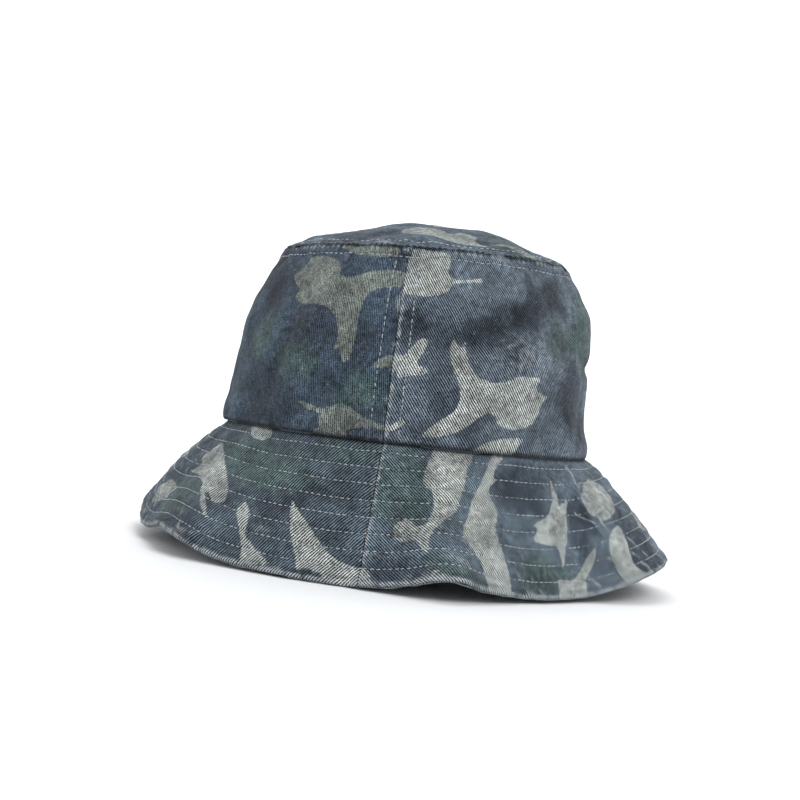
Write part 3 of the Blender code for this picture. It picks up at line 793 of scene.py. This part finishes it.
crown_front_twill = camouflage_twill("camouflage_twill_crown_front", 124.0, 1.10, 1.10, "525C66", "8E9290")
# The rear panel's ground and pale colours are darker than the front's, partly with painted shade, as that
# side faces away from the light.
crown_rear_twill = camouflage_twill("camouflage_twill_crown_rear", 98.0, 0.90, 0.60, "37434F", "636965")
crown_top_twill = camouflage_twill("camouflage_twill_crown_top", 40.0, 1.05, 0.85, "47545F", "7C827F")
brim_front_twill = camouflage_twill("camouflage_twill_brim_front", 138.0, 1.05, 0.95, "515D67", "8E9390")
brim_rear_twill = camouflage_twill("camouflage_twill_brim_rear", 47.0, 1.25, 1.15, "444F58", "8A8F8C")
brim_under_twill = camouflage_twill("camouflage_twill_brim_under", 60.0, 1.05, 0.85, "46505A", "7F837D")
print("nodes in one twill:", len(crown_front_twill.node_tree.nodes))

# %% [markdown]
# ## Thread and the cloths inside
# The thread is spun polyester. It takes the garment dye badly, so it stays paler than the cloth,
# and each stitch has its own tone. The sweatband is plain cotton twill, the tapes are herringbone,
# the labels are satin ribbon, and the interlining is stiff unbleached cotton.

# %% Spun polyester thread
thread, tree = new_finish("spun_polyester_thread")
solid = node(tree, "TexCoord")["Object"]
tone = node(tree, "Attribute", attribute_name="tone")["Fac"]
lint = node(tree, "TexNoise", {"Vector": solid, "Scale": 900.0, "Detail": 3.0, "Roughness": 0.7})[0]
tone = node(tree, "Math", {0: lint, 1: 0.5, 2: tone}, operation="MULTIPLY_ADD")[0]
colour = node(tree, "ValToRGB", {0: tone})
ramp_stops = colour[0].node.color_ramp
ramp_stops.elements[0].position, ramp_stops.elements[0].color = 0.25, linear("56626C")
ramp_stops.elements[1].position, ramp_stops.elements[1].color = 1.15 / 1.5, linear("AEB6BB")
bump = node(tree, "Bump", {"Height": lint, "Strength": 0.6, "Distance": 0.0001})[0]
rough = node(tree, "MapRange", {0: lint, 3: 0.6, 4: 0.85})[0]
shader = node(tree, "BsdfPrincipled", {"Base Color": colour[0], "Roughness": rough, "Normal": bump,
                                       "Sheen Weight": 0.15})[0]
node(tree, "OutputMaterial", {"Surface": shader})


# %% Plain woven finishes
def woven(name, pitch, low, high, zigzag=0.0, rough=(0.8, 0.95), distance=0.12, lean=60.0):
    """Plain dyed cloth: twill lines of a pitch in mm, turned back every zigzag mm if it is given."""
    material, tree = new_finish(name)
    cloth = node(tree, "UVMap", uv_map="cloth")[0]
    place = cloth
    if zigzag:
        parts = node(tree, "SeparateXYZ", {0: cloth})
        fold = node(tree, "Math", {0: parts[1], 1: zigzag / 100}, operation="PINGPONG")[0]
        place = node(tree, "CombineXYZ", {0: parts[0], 1: fold})[0]
    grain = node(tree, "Mapping", {"Vector": place, "Rotation": (0, 0, np.radians(90 - lean))})[0]
    lines = node(tree, "TexWave", {"Vector": grain, "Scale": WAVE_PERIOD * 100 / pitch,
                                   "Distortion": 0.8, "Detail": 1.0})["Fac"]
    yarn = node(tree, "TexNoise", {"Vector": cloth, "Scale": 120.0, "Detail": 3.0, "Roughness": 0.6})[0]
    blotch = node(tree, "TexNoise", {"Vector": cloth, "Scale": 6.0, "Detail": 3.0})[0]
    mixed = node(tree, "Math", {0: lines, 1: 0.5, 2: -0.2}, operation="MULTIPLY_ADD")[0]
    mixed = node(tree, "Math", {0: yarn, 1: 0.8, 2: mixed}, operation="MULTIPLY_ADD")[0]
    tint = node(tree, "Math", {0: blotch, 1: 0.5, 2: mixed}, operation="MULTIPLY_ADD")[0]
    tint = node(tree, "MapRange", {0: tint, 1: 0.15, 2: 1.15})[0]
    colour = node(tree, "Mix", {0: tint, 6: linear(low), 7: linear(high)}, data_type="RGBA")[2]
    bump = node(tree, "Bump", {"Height": mixed, "Strength": 0.8, "Distance": distance * MM})[0]
    roughness = node(tree, "MapRange", {0: yarn, 3: rough[0], 4: rough[1]})[0]
    shader = node(tree, "BsdfPrincipled", {"Base Color": colour, "Roughness": roughness, "Normal": bump,
                                           "Specular IOR Level": 0.25, "Sheen Weight": 0.1})[0]
    node(tree, "OutputMaterial", {"Surface": shader})
    return material


sweatband_cotton = woven("sweatband_cotton_twill", 1.0, "2B333B", "5A6670")
herringbone_tape = woven("herringbone_cotton_tape", 1.1, "2A3036", "666F76", zigzag=2.0)
satin_ribbon = woven("satin_label_ribbon", 0.5, "C3C3BC", "E6E6E0",
                     rough=(0.35, 0.5), distance=0.03, lean=0.0)
stiff_interlining = woven("stiff_cotton_interlining", 0.9, "A9A498", "D2CDC0", lean=0.0)
print("finishes:", [material.name for material in bpy.data.materials][-11:])

# %% [markdown]
# ## Where the print, the wear and the painted shade fall
# Each grid also carries marks: the place on the flat cloth, the distances inside each colour of the print,
# how worn the cloth is, and how much painted shade it gets in seams, grooves and crease hollows. A rolled
# edge continues the print and gets darker with painted shade as it turns into the seam.

# %% Marks for each kind of panel
COLUMNS = ("khaki", "green", "dark", "worn", "groove_shade")


def with_print(u, v, placements, patches, worn, groove_shade, flat):
    """All the marks of a grid in one array: flat place, colours, wear and painted shade of grooves."""
    layers = [flat[..., 0], flat[..., 1], printed(u, v, placements), patched(u, v, patches, "green"),
              patched(u, v, patches, "dark"), np.clip(worn, 0.0, 1.3), np.clip(groove_shade, 0.0, 1.0)]
    return np.stack(np.broadcast_arrays(*layers), axis=-1)


def crease_wear_and_shade(angle, step, creases, radius, wanted):
    """How much creases of one kind, ridges (1) or hollows (-1), show at each place: 0 to about 1."""
    total = 0.0
    for a0, s0, a1, s1, width, depth in creases:
        if depth * wanted > 0:
            away, share = from_line(angle, step, (a0, s0, a1, s1), radius)
            swell = np.sin(np.pi * np.clip(share, 0.1, 0.9))
            total = total + abs(depth) / 2 * bell(away, 1.1 * width) * swell
    return total


# Broad rubbed places of the crown: angle, height, reach in mm, and how pale the middle gets.
CROWN_RUBS = ((-52, 48, 15.0, 0.34), (-34, 40, 11.0, 0.22), (-82, 74, 9.0, 0.20), (-128, 24, 12.0, 0.12),
              (60, 34, 16.0, 0.25), (150, 60, 16.0, 0.20))


def crown_marks(angle, height, start):
    """Marks of a side panel whose print is measured from the side seam at the angle start."""
    points = plain_wall(angle, height)
    seam, below_top = np.abs(side_seam_distance(angle, 84.0)), crown_height(angle) - height
    rub = np.maximum(wander(points * (0.35, 0.35, 1.0), 9.0, 3) * bell(seam, 10.0),
                     wander(points * (1.0, 1.0, 0.3), 9.0, 4) * bell(below_top - 2, 9.0))
    speckle = 0.65 + 0.6 * wander(points, 3.4, 51)
    lap = np.where(np.cos(np.radians(angle)) > 0, 1.25, 0.45)
    worn = lap * bell(seam - 0.8, 1.0) * speckle + 0.35 * bell(seam - SIDE_ROW - 0.3, 0.7)
    pale_dashes = 0.6 - 0.5 * np.cos(np.radians(angle) * 150)
    worn = worn + 0.36 * np.maximum(rub, 0) + 1.1 * bell(below_top - 1.2, 0.9) * speckle * pale_dashes
    worn = worn + 0.25 * bell(height - 2.2, 1.4)
    for place, up, reach, strength in CROWN_RUBS:
        away = np.hypot(np.radians(angle - place) * ROUND_CROWN, height - up)
        worn = worn + strength * bell(away, reach) * speckle
    worn = worn + 0.30 * crease_wear_and_shade(angle, height, CROWN_CREASES, ROUND_CROWN, 1)
    worn = worn + 0.12 * bell(height - 3, 9.0) * np.maximum(wander(points * (1, 1, 0.25), 6.0, 53), 0)
    # Painted shade: darker in the side seams and beside their stitching, in the top seam's stitch gaps, along
    # the top row, under the hem and in crease hollows.
    dashes = 0.6 + 0.5 * np.cos(np.radians(angle) * 150)
    groove_shade = 0.4 * bell(seam, 0.5) + 0.35 * bell(seam - SIDE_ROW + 0.4, 0.6)
    groove_shade = groove_shade + 1.3 * bell(below_top, 1.1) * dashes
    groove_shade = groove_shade + 0.30 * bell(below_top - TOP_ROW, 0.6) + 0.8 * bell(height - 0.6, 1.1)
    # Painted shade in the hollows of the creases.
    groove_shade = groove_shade + 0.42 * crease_wear_and_shade(angle, height, CROWN_CREASES, ROUND_CROWN, -1)
    u = np.radians(angle - start) * ROUND_CROWN + 0 * height
    return with_print(u, height + 0 * u, CROWN_PRINT, CROWN_PATCHES, worn, groove_shade,
                      np.stack([u, height + 0 * u], axis=-1))


def brim_flat(angle, along, start):
    """Place on the flat pattern. The brim is nearly a cone, and a cone opens into part of a ring."""
    slope = np.radians(SLOPE_MEAN)
    inner = 0.5 * sum(CROWN_BASE) / np.cos(slope)
    turn = np.radians(angle - start) * np.cos(slope)
    return np.stack([(inner + along) * np.sin(turn), inner - (inner + along) * np.cos(turn)], axis=-1)


# Rubbed lines down the brim: angle and distance of each end, width in mm, and how pale.
RUBS = [(-28.5, 0, -26.4, 17, 0.8, 1.5), (-26.6, 22, -24.4, 36, 0.9, 1.5), (-32, 28, -26.5, 37, 0.6, 0.9),
        (-24.5, 37, -21.5, 50, 0.6, 1.1), (-19, 46, -15, 63, 0.8, 0.9), (-14, 18, -11, 42, 0.6, 0.6),
        (-20, 56, -18, 70, 0.9, 1.0), (-8, 50, -5, 69, 0.7, 0.8), (-27, 54, -25, 70, 0.9, 1.0),
        (-10, 2, -8, 24, 0.7, 0.6), (-16, 1, -13, 14, 0.8, 0.7), (-34, 58, -31, 69, 0.7, 0.7),
        (-162, 60, -157, 44, 0.9, 0.9), (-156, 40, -155, 22, 0.8, 0.8), (-158, 16, -163, 3, 0.8, 0.8),
        (-139, 52, -134, 66, 0.7, 0.6), (-44, 56, -41, 69, 0.7, 0.6), (-52, 60, -49, 70, 0.7, 0.7)]
rng = np.random.default_rng(77)
for _ in range(34):
    place, low, lean = rng.uniform(8, 196), rng.uniform(2, 58), rng.uniform(-1.5, 4.0)
    RUBS.append((place, low, place + lean, low + rng.uniform(6, 16), 0.7, rng.uniform(0.4, 0.9)))


def brim_marks(angle, along, start):
    """Marks of the brim: worn at its edge, seams, stitching and creases, with painted shade in its seams,
    rows of stitching, base seam and a line just inside the edge.
    """
    points = plain_brim(angle, along)
    seam = np.abs(side_seam_distance(angle, CROWN_BASE[1] + 0.45 * along))
    row_share = (along - FIRST_ROW) / ROW_PITCH
    from_row = np.abs(row_share - np.clip(np.round(row_share), 0, STITCH_ROWS - 1)) * ROW_PITCH
    ripple = wander(points, 5.2, 11) + wander(points, 9.0, 12)
    speckle = 0.65 + 0.6 * wander(points, 3.4, 51)
    worn = 1.4 * bell(along - BRIM_WIDTH + 0.1, 1.25) * (0.45 + speckle)
    worn = worn + 0.14 * bell(along - BRIM_WIDTH + 2.5, 3.0)
    lap = np.where(np.cos(np.radians(angle)) > 0, 1.2, 0.5)
    worn = worn + lap * bell(seam - 0.8, 1.0) * speckle
    worn = worn + 0.10 * np.maximum(ripple, 0) * ramp(from_row, 0.3, 2.0)
    for a0, s0, a1, s1, width, strength in RUBS:
        away, share = from_line(angle, along, (a0, s0, a1, s1), ROUND_BRIM)
        worn = worn + 1.25 * strength * bell(away, 0.85 * width) * (0.7 + 0.5 * wander(points, 4.0, 52))
    flat = brim_flat(angle, along, start)
    stretched = np.stack([flat[..., 0] * 0.25, flat[..., 1], 0 * angle + 0 * along], axis=-1)
    streaks = wander(stretched, 5.0, 41)
    worn = worn + 0.30 * np.maximum(streaks, 0) * ramp(along, 30.0, 62.0)
    # Painted shade: darker in the side seams, along the rows of stitching, at the base seam and in a line
    # just inside the edge.
    groove_shade = 0.3 * bell(seam, 0.5) + 0.34 * bell(from_row, 0.7) + 0.9 * bell(along, 1.2)
    groove_shade = groove_shade + 0.55 * bell(along - BRIM_WIDTH + 3.0, 0.6)
    u = np.radians(angle - start) * ROUND_BRIM + 0 * along
    return with_print(u, along + 0 * u, BRIM_PRINT, BRIM_PATCHES, worn, groove_shade,
                      flat + 0 * u[..., None])


def dome_marks(angle, share):
    """Marks of the top: the print is laid flat across it, so its place is the plan position."""
    points = plain_dome(angle, share)
    inside = (1 - share + 0 * angle) * CROWN_TOP[1]
    rub = np.maximum(wander(points, 10.0, 31), 0) * bell(inside - 3, 8.0)
    worn = 0.55 * bell(inside - 1.1, 0.8) + 0.30 * bell(inside - TOP_ROW - 0.4, 0.7) + 0.40 * rub
    # Painted shade: darker in the top seam's stitch gaps and along its row of stitching.
    dashes = 0.6 + 0.5 * np.cos(np.radians(angle) * 150)
    groove_shade = 1.3 * bell(inside, 1.0) * dashes + 0.38 * bell(inside - TOP_ROW, 0.6)
    place = points[..., :2] - AXIS
    return with_print(place[..., 0], place[..., 1], TOP_PRINT, TOP_PATCHES, worn, groove_shade, place)


# %% [markdown]
# ## Sewing a panel
# One function takes a panel through its steps: points, marks, back, mesh, finish and the CAD nodes that it
# stands for, and another rolls its edges. It prints the size that the piece was cut to.

# %% Panels
def grid_area(points, around=False):
    """Area of a grid: half the cross product of each cell's two diagonals, in square mm."""
    grid = np.concatenate([points, points[:1]]) if around else points
    first, second = grid[1:, 1:] - grid[:-1, :-1], grid[1:, :-1] - grid[:-1, 1:]
    return 0.5 * np.linalg.norm(np.cross(first, second), axis=-1).sum()


def finish_panel(name, points, marks, thickness, material, nodes, around=False, capped=False,
                 lowest=None, cut=None, body="hat"):
    if lowest is not None:
        points = on_table(points, lowest)
    mesh = cloth_mesh(name, points, thickness, around, capped)
    values = doubled(marks, capped)
    named = {key: values[:, 2 + index] for index, key in enumerate(COLUMNS)}
    named["reverse"] = reverse_mark(points, capped)
    add_marks(mesh, named, values[:, :2])
    piece = add_piece(name, mesh, material, nodes, body)
    area = grid_area(points, around)
    if cut is None:
        cut = np.ptp(marks[..., :2].reshape(-1, 2), axis=0)
    cut = np.maximum(cut, (area / cut[1], 0)) * (1.002, 1.0)
    print(f"{name}: cut {cut[0]:.0f} x {cut[1]:.0f} mm, {area / 100:.0f} square cm,",
          len(mesh.polygons), "faces")
    return piece


def turned_in(points, marks, rolls, around=False):
    """Applies a list of rolls to a panel: side, radius, turn and how much painted shade the roll gets."""
    for side, radius, turn, shade in rolls:
        points, marks = rolled(points, marks, side, radius, turn, shade, around=around)
    return points, marks


# The cloths lap a little at each seam, in mm, so that next to no light passes between their rolls.
SEAM_ROLL = 0.75
HEM_ROLL = 1.2
HEM_LIFT = 0.95                             # where the wall's hem starts to roll, above the base seam
TOP_LAP = 0.40                              # how far the wall's rolled top rises past the top seam
HALVES = (("front", 0.0, -90.0), ("rear", 180.0, 270.0))    # name, middle, and the print's seam
for half, middle, start in HALVES:
    short = np.degrees((SEAM_ROLL + 0.03) / CROWN_BASE[1])
    angle = middle + np.linspace(-90 + short, 90 - short, 300)[:, None]
    top_end = crown_height(angle) - SEAM_ROLL + TOP_LAP
    height = HEM_LIFT + (top_end - HEM_LIFT) * np.linspace(1, 0, 92)[None, :]
    points, marks = turned_in(crown_face(angle, height), crown_marks(angle, height, start), (
        ("top", SEAM_ROLL, 140, 1.0), ("bottom", HEM_ROLL, 125, 1.0),
        ("start", SEAM_ROLL, 110, 0.55), ("end", SEAM_ROLL, 110, 0.55)))
    finish_panel(f"crown_{half}_cloth", points, marks, TWILL,
                 crown_front_twill if half == "front" else crown_rear_twill,
                 ["crown_side_panel_" + half])

# %% The oval top
angle = np.arange(480)[:, None] * 0.75
TOP_INSET = 0.25                            # the top stops this short of the seam, then rolls
share = np.linspace(0.02, 1 - TOP_INSET / CROWN_TOP[1], 66)[None, :]
points, marks = turned_in(dome_face(angle, share), dome_marks(angle, share),
                          (("bottom", SEAM_ROLL, 140, 1.0),), around=True)
finish_panel("crown_top_cloth", points, marks, TWILL, crown_top_twill, ["crown_top_panel"],
             around=True, capped=True)

# %% The brim's upper and under cloths
EDGE_ROLL = 1.15
UPPER_START, UNDER_START = 0.8, 0.5         # where each cloth begins, out from the base seam
TUCK_RADIUS, TUCK_TURN = -3.0, -32          # the inner edge rolls up behind the crown
for half, middle, start in HALVES:
    along = np.linspace(UPPER_START, BRIM_WIDTH - EDGE_ROLL, 64)[None, :]
    short = np.degrees((SEAM_ROLL + 0.03) / (CROWN_BASE[1] + 0.42 * along))
    angle = middle + np.linspace(-1, 1, 330)[:, None] * (90 - short)
    edges = (("top", TUCK_RADIUS, TUCK_TURN, 1.0), ("bottom", EDGE_ROLL, 85, 0.3),
             ("start", SEAM_ROLL, 110, 0.5), ("end", SEAM_ROLL, 110, 0.5))
    points, marks = turned_in(brim_face(angle, along), brim_marks(angle, along, start), edges)
    cut = np.ptp(brim_flat(angle, along, middle).reshape(-1, 2), axis=0)
    finish_panel(f"brim_upper_{half}_cloth", points, marks, TWILL,
                 brim_front_twill if half == "front" else brim_rear_twill,
                 ["brim_upper_" + half], lowest=0.75, cut=cut)
    # The under cloth faces down, so its columns run from the edge inwards.
    along = np.linspace(BRIM_WIDTH - EDGE_ROLL, UNDER_START, 64)[None, :]
    short = np.degrees((SEAM_ROLL + 0.03) / (CROWN_BASE[1] + 0.42 * along))
    angle = middle + np.linspace(-1, 1, 330)[:, None] * (90 - short)
    marks = brim_marks(angle, along, start + 33)
    edges = (("top", EDGE_ROLL, 85, 0.0), ("bottom", 0.8, 60, 1.0),
             ("start", SEAM_ROLL, 80, 1.0), ("end", SEAM_ROLL, 80, 1.0))
    points, marks = turned_in(under_face(angle, along), marks, edges)
    finish_panel(f"brim_under_{half}_cloth", points, marks, TWILL, brim_under_twill,
                 ["brim_under_" + half], lowest=0.05, cut=cut)
    # The interlining between them stops short of the edge's allowances.
    along = np.linspace(1.5, BRIM_WIDTH - 2.6, 40)[None, :]
    angle = middle + np.linspace(-89.2, 89.2, 180)[:, None]
    points = on_table(brim_layer(angle, along, 1.15, 0.0), 0.9)
    marks = np.concatenate([brim_flat(angle, along, start), np.zeros(points.shape[:2] + (5,))], axis=-1)
    finish_panel(f"brim_interlining_{half}_sheet", points, marks, 0.3, stiff_interlining,
                 ["brim_interlining_" + half], cut=cut)

# %% [markdown]
# ## Inside the crown
# The sweatband is a folded strip that covers the base seam's allowances. Tapes cover the top seam
# and the side seams, a blank size label is sewn to the sweatband behind, and the care label hangs
# from the sweatband's edge at the right side, free to swing. These all face inwards, so their
# columns run upwards.


# %% Sweatband, tapes and labels
def inner_band(name, angles, low, high, depth, thickness, material, nodes, fold=None, columns=14):
    """A strip on the inside of the wall, between two heights, at a depth inside the outer face."""
    angle = angles[:, None]
    height = low(angle) + (high(angle) - low(angle)) * np.linspace(0, 1, columns)[None, :]
    points = coarse_crown(angle, height, depth)
    flat = np.stack([np.radians(angle) * ROUND_CROWN + 0 * height, height + 0 * angle], axis=-1)
    marks = np.concatenate([flat, np.zeros(points.shape[:2] + (5,))], axis=-1)
    if fold:
        points, marks = turned_in(points, marks, (("bottom", fold, 175, 0.0),))
    return finish_panel(name, points, marks, thickness, material, nodes)


INNER = 0.25                      # extra clearance, because the crown's grooves dip inwards
SWEATBAND_DROP = 0.7              # how far the sweatband passes below the base seam
TAPE_SHORT = 0.7                  # how far the top tape stops below the top seam
all_round = np.linspace(-179.93, 179.93, 400)
inner_band("sweatband_cloth", all_round, lambda a: -SWEATBAND_DROP, lambda a: SWEATBAND_HEIGHT - 0.4,
           SWEATBAND_DEPTH + INNER, 0.35, sweatband_cotton, ["sweatband"], fold=0.4,
           columns=24)
inner_band("top_seam_tape_cloth", all_round, lambda a: crown_height(a) - 12.0,
           lambda a: crown_height(a) - TAPE_SHORT, 1.5 + INNER, 0.5, herringbone_tape, ["top_seam_tape"],
           columns=10)
for side, middle in (("left", 90.0), ("right", -90.0)):
    reach = np.degrees(6.0 / CROWN_BASE[1])
    inner_band(f"side_seam_tape_{side}_cloth", middle + np.linspace(-reach, reach, 13),
               lambda a: SWEATBAND_HEIGHT + 0.6, lambda a: crown_height(a) - 12.6,
               1.8 + INNER, 0.5, herringbone_tape, [f"side_seam_tape_{side}"],
               columns=52)
reach = np.degrees(15.0 / CROWN_BASE[0])
inner_band("size_label_ribbon", 180.0 + np.linspace(-reach, reach, 31), lambda a: 9.0, lambda a: 21.0,
           2.7 + INNER, 0.3, satin_ribbon, ["size_label"], columns=13)

# %% The care label, which hangs free
label_low, label_high = (np.array(corner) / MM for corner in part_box("care_label"))
across = np.linspace(label_low[0], label_high[0], 21)[:, None]
down = np.linspace(0, 1, 27)[None, :]
# It faces inwards, +Y, so its rows run backwards along X. It curls a little towards its free end.
across = across[::-1]
hang = 0.9 * down ** 2 + 0.25 * np.sin(np.pi * (across - label_low[0]) / 20.0) * down
points = np.stack(np.broadcast_arrays(across, label_high[1] + hang,
                                      label_high[2] - down * (label_high[2] - label_low[2])), axis=-1)
marks = np.concatenate([np.stack(np.broadcast_arrays(-across, -26 * down), axis=-1),
                        np.zeros(points.shape[:2] + (5,))], axis=-1)
finish_panel("care_label_ribbon", points, marks, 0.3, satin_ribbon, ["care_label"],
             body="label")

# %% [markdown]
# ## Stitching
# Every stitch is a short bar of thread that dips into the cloth at both ends, so that a row reads as
# separate stitches and not as a drawn line. Stitches are evenly spaced along the real length of the
# row, with a little of the hand's unevenness.

# %% Rows of stitches
STITCH_PITCH, STITCH_LENGTH, THREAD_RADIUS = 2.9, 2.1, 0.23
BAR_PLACES = np.array([0.0, 0.14, 0.5, 0.86, 1.0])
BAR_LIFTS = np.array([-0.30, 0.10, 0.20, 0.10, -0.30])
BAR_RADII = THREAD_RADIUS * np.array([0.75, 1.0, 1.05, 1.0, 0.75])
BAR_SIDES = 6


def stitch_bars(surface, row, way, seed):
    """Vertices of a row's stitches: bars of rings, spaced by arc length along the row."""
    rng = np.random.default_rng(seed)
    share = np.linspace(0, 1, 4001)
    line = surface(*row(share))
    length = np.concatenate([[0], np.cumsum(np.linalg.norm(np.diff(line, axis=0), axis=1))])
    count = int(length[-1] / STITCH_PITCH)
    pitch = length[-1] / count
    starts = (np.arange(count) + 0.15 + rng.uniform(-0.06, 0.06, count)) * pitch
    sizes = STITCH_LENGTH * rng.uniform(0.82, 1.08, count)
    angle, step = row(np.interp(starts[:, None] + sizes[:, None] * BAR_PLACES, length, share))
    centre, normal = surface(angle, step), probe_normal(surface, angle, step, way)
    along = unit(np.gradient(centre, axis=1))
    across = unit(np.cross(normal, along))
    slant = rng.uniform(-0.10, 0.10, (count, 1)) + 0.09 * (BAR_PLACES - 0.5)[None, :]
    centre = centre + normal * BAR_LIFTS[None, :, None] + across * slant[..., None]
    turn = np.arange(BAR_SIDES) * 2 * np.pi / BAR_SIDES
    ring = (np.cos(turn)[:, None] * across[:, :, None, :] + np.sin(turn)[:, None] * normal[:, :, None, :])
    tone = rng.uniform(0.0, 1.0, count) ** 0.8
    return centre[:, :, None, :] + BAR_RADII[None, :, None, None] * ring, tone


def sewn_row(name, rows, node_name):
    """One piece for all the stitches of a row: rows is a list of surface, row, way and seed."""
    bars, tones = zip(*[stitch_bars(*row) for row in rows])
    bars, tones = np.concatenate(bars), np.concatenate(tones)
    count, rings = bars.shape[:2]
    number = np.arange(count * rings * BAR_SIDES).reshape(count, rings, BAR_SIDES)
    after = np.roll(number, -1, axis=2)
    quads = np.stack([number[:, :-1], after[:, :-1], after[:, 1:], number[:, 1:]], axis=-1).reshape(-1, 4)
    caps = np.concatenate([number[:, 0, ::-1], number[:, -1]])
    mesh = write_mesh(name, bars.reshape(-1, 3), [quads, caps])
    add_marks(mesh, {"tone": np.repeat(tones, rings * BAR_SIDES)}, bars.reshape(-1, 3)[:, :2])
    add_piece(name, mesh, thread, [node_name])
    return count


total = 0
for row in range(STITCH_ROWS):
    along = ROW_PLACES[row]
    total += sewn_row(f"brim_stitches_{row + 1}",
                      [(brim_face, lambda q, s=along: (q * 360.0, s + 0 * q), 1.0, 100 + row),
                       (under_face, lambda q, s=along: (q * 360.0, s + 0 * q), -1.0, 120 + row)],
                      f"brim_stitch_row_{row + 1}")
print("stitches in the brim:", total)

# %% Stitches of the crown
top_share = 1 - TOP_ROW / CROWN_TOP[1]
sewn_row("top_seam_stitches_upper", [(dome_face, lambda q: (q * 360.0, top_share + 0 * q), 1.0, 140)],
         "top_seam_stitch_upper")
sewn_row("top_seam_stitches_lower",
         [(crown_face, lambda q: (q * 360.0, crown_height(q * 360.0) - TOP_ROW), -1.0, 141)],
         "top_seam_stitch_lower")
for side, middle in (("left", 90.0), ("right", -90.0)):
    for end, sign in (("front", 1.0), ("rear", -1.0)):
        turn = np.degrees(SIDE_ROW / 84.0) * sign * (-1.0 if side == "left" else 1.0)
        low, high = 4.0, float(crown_height(middle)) - TOP_ROW - 2.0
        sewn_row(f"side_seam_stitches_{side}_{end}",
                 [(crown_face, lambda q, a=middle + turn: (a + 0 * q, high + (low - high) * q), -1.0,
                   142 + int(middle + sign))], f"side_seam_stitch_{side}_{end}")


def band_face(angle, height):
    """The sweatband's inner face, for the row of thread that holds it."""
    return coarse_crown(angle, height, SWEATBAND_DEPTH + INNER)


sewn_row("base_seam_stitches", [(band_face, lambda q: (q * 360.0, 1.9 + 0 * q), 1.0, 150)],
         "base_seam_thread")

# %% [markdown]
# ## Camera, light and floor
# The hat is seen from its right side and slightly from above the brim, with the camera a little
# tilted. The light is a big soft window above and to the front, a weak fill from the other side,
# and a pale sweep of paper that runs from under the hat up behind it.

# %% Studio
VIEW_TURN, VIEW_TILT, VIEW_DISTANCE = np.radians(7.0), np.radians(6.4), 0.700
right = Vector((np.cos(VIEW_TURN), np.sin(VIEW_TURN), 0.0))
forward = Vector((-np.sin(VIEW_TURN), np.cos(VIEW_TURN), 0.0))
upright = Vector((0.0, 0.0, 1.0))
camera_right = right * np.cos(VIEW_TILT) + upright * np.sin(VIEW_TILT)
camera_up = upright * np.cos(VIEW_TILT) - right * np.sin(VIEW_TILT)
camera = bpy.data.objects.new("camera", bpy.data.cameras.new("camera"))
bpy.context.scene.collection.objects.link(camera)
camera.data.lens, camera.data.sensor_width = 59.3, 36.0
camera.data.shift_x, camera.data.shift_y = -0.0146, -0.0109
camera.data.clip_start = 0.01
place = Vector((AXIS[0] * MM, AXIS[1] * MM, SEAM_Z * MM + 0.025)) - forward * VIEW_DISTANCE
turned = Matrix((camera_right, camera_up, -forward)).transposed().to_4x4()
camera.matrix_world = Matrix.Translation(place) @ turned
bpy.context.scene.camera = camera

world = bpy.data.worlds.new("studio")
world.use_nodes = True
world.node_tree.nodes["Background"].inputs[0].default_value = linear("F4F6F8")
world.node_tree.nodes["Background"].inputs[1].default_value = 0.70
bpy.context.scene.world = world
bpy.context.scene.view_settings.view_transform = "Standard"


def soft_light(name, place, aim, size, power):
    """A square area light turned towards a point."""
    data = bpy.data.lights.new(name, "AREA")
    data.size, data.energy = size, power
    light = bpy.data.objects.new(name, data)
    light.location = place
    light.rotation_euler = (Vector(aim) - light.location).to_track_quat("-Z", "Y").to_euler()
    bpy.context.scene.collection.objects.link(light)


soft_light("window", (0.75, -1.0, 1.25), (0, 0, 0.08), 0.9, 12.0)
soft_light("fill", (-1.2, -0.7, 0.6), (0, 0, 0.08), 1.2, 3.0)
soft_light("top", (-0.1, 0.3, 1.5), (0, 0, 0.08), 1.0, 5.0)
soft_light("backdrop", (0.0, 0.9, 1.8), (0, 2.4, 0.8), 2.0, 42.0)

# %% Paper sweep
paper, tree = new_finish("matt_paper_sweep")
solid = node(tree, "TexCoord")["Object"]
tooth = node(tree, "TexNoise", {"Vector": solid, "Scale": 300.0, "Detail": 3.0})[0]
bump = node(tree, "Bump", {"Height": tooth, "Strength": 0.1, "Distance": 0.0002})[0]
shader = node(tree, "BsdfPrincipled", {"Base Color": linear("F2F3F4"), "Roughness": 0.9, "Normal": bump})[0]
node(tree, "OutputMaterial", {"Surface": shader})
# The profile runs along the floor, round a quarter circle, and up.
bend = np.radians(np.linspace(0, 90, 25))
profile = np.concatenate([[(-6500.0, 0.0)],
                          np.stack([1500 + 900 * np.sin(bend), 900 - 900 * np.cos(bend)], axis=1),
                          [(2400.0, 3500.0)]])
sweep = np.stack(np.broadcast_arrays(np.array([-4500.0, 4500.0])[:, None], profile[None, :, 0],
                                     profile[None, :, 1]), axis=-1)
number = np.arange(sweep.size // 3).reshape(sweep.shape[:2])
mesh = write_mesh("paper_sweep", sweep.reshape(-1, 3), [strip(number[1], number[0])])
floor = bpy.data.objects.new("paper_sweep", mesh)
bpy.context.scene.collection.objects.link(floor)
mesh.materials.append(paper)
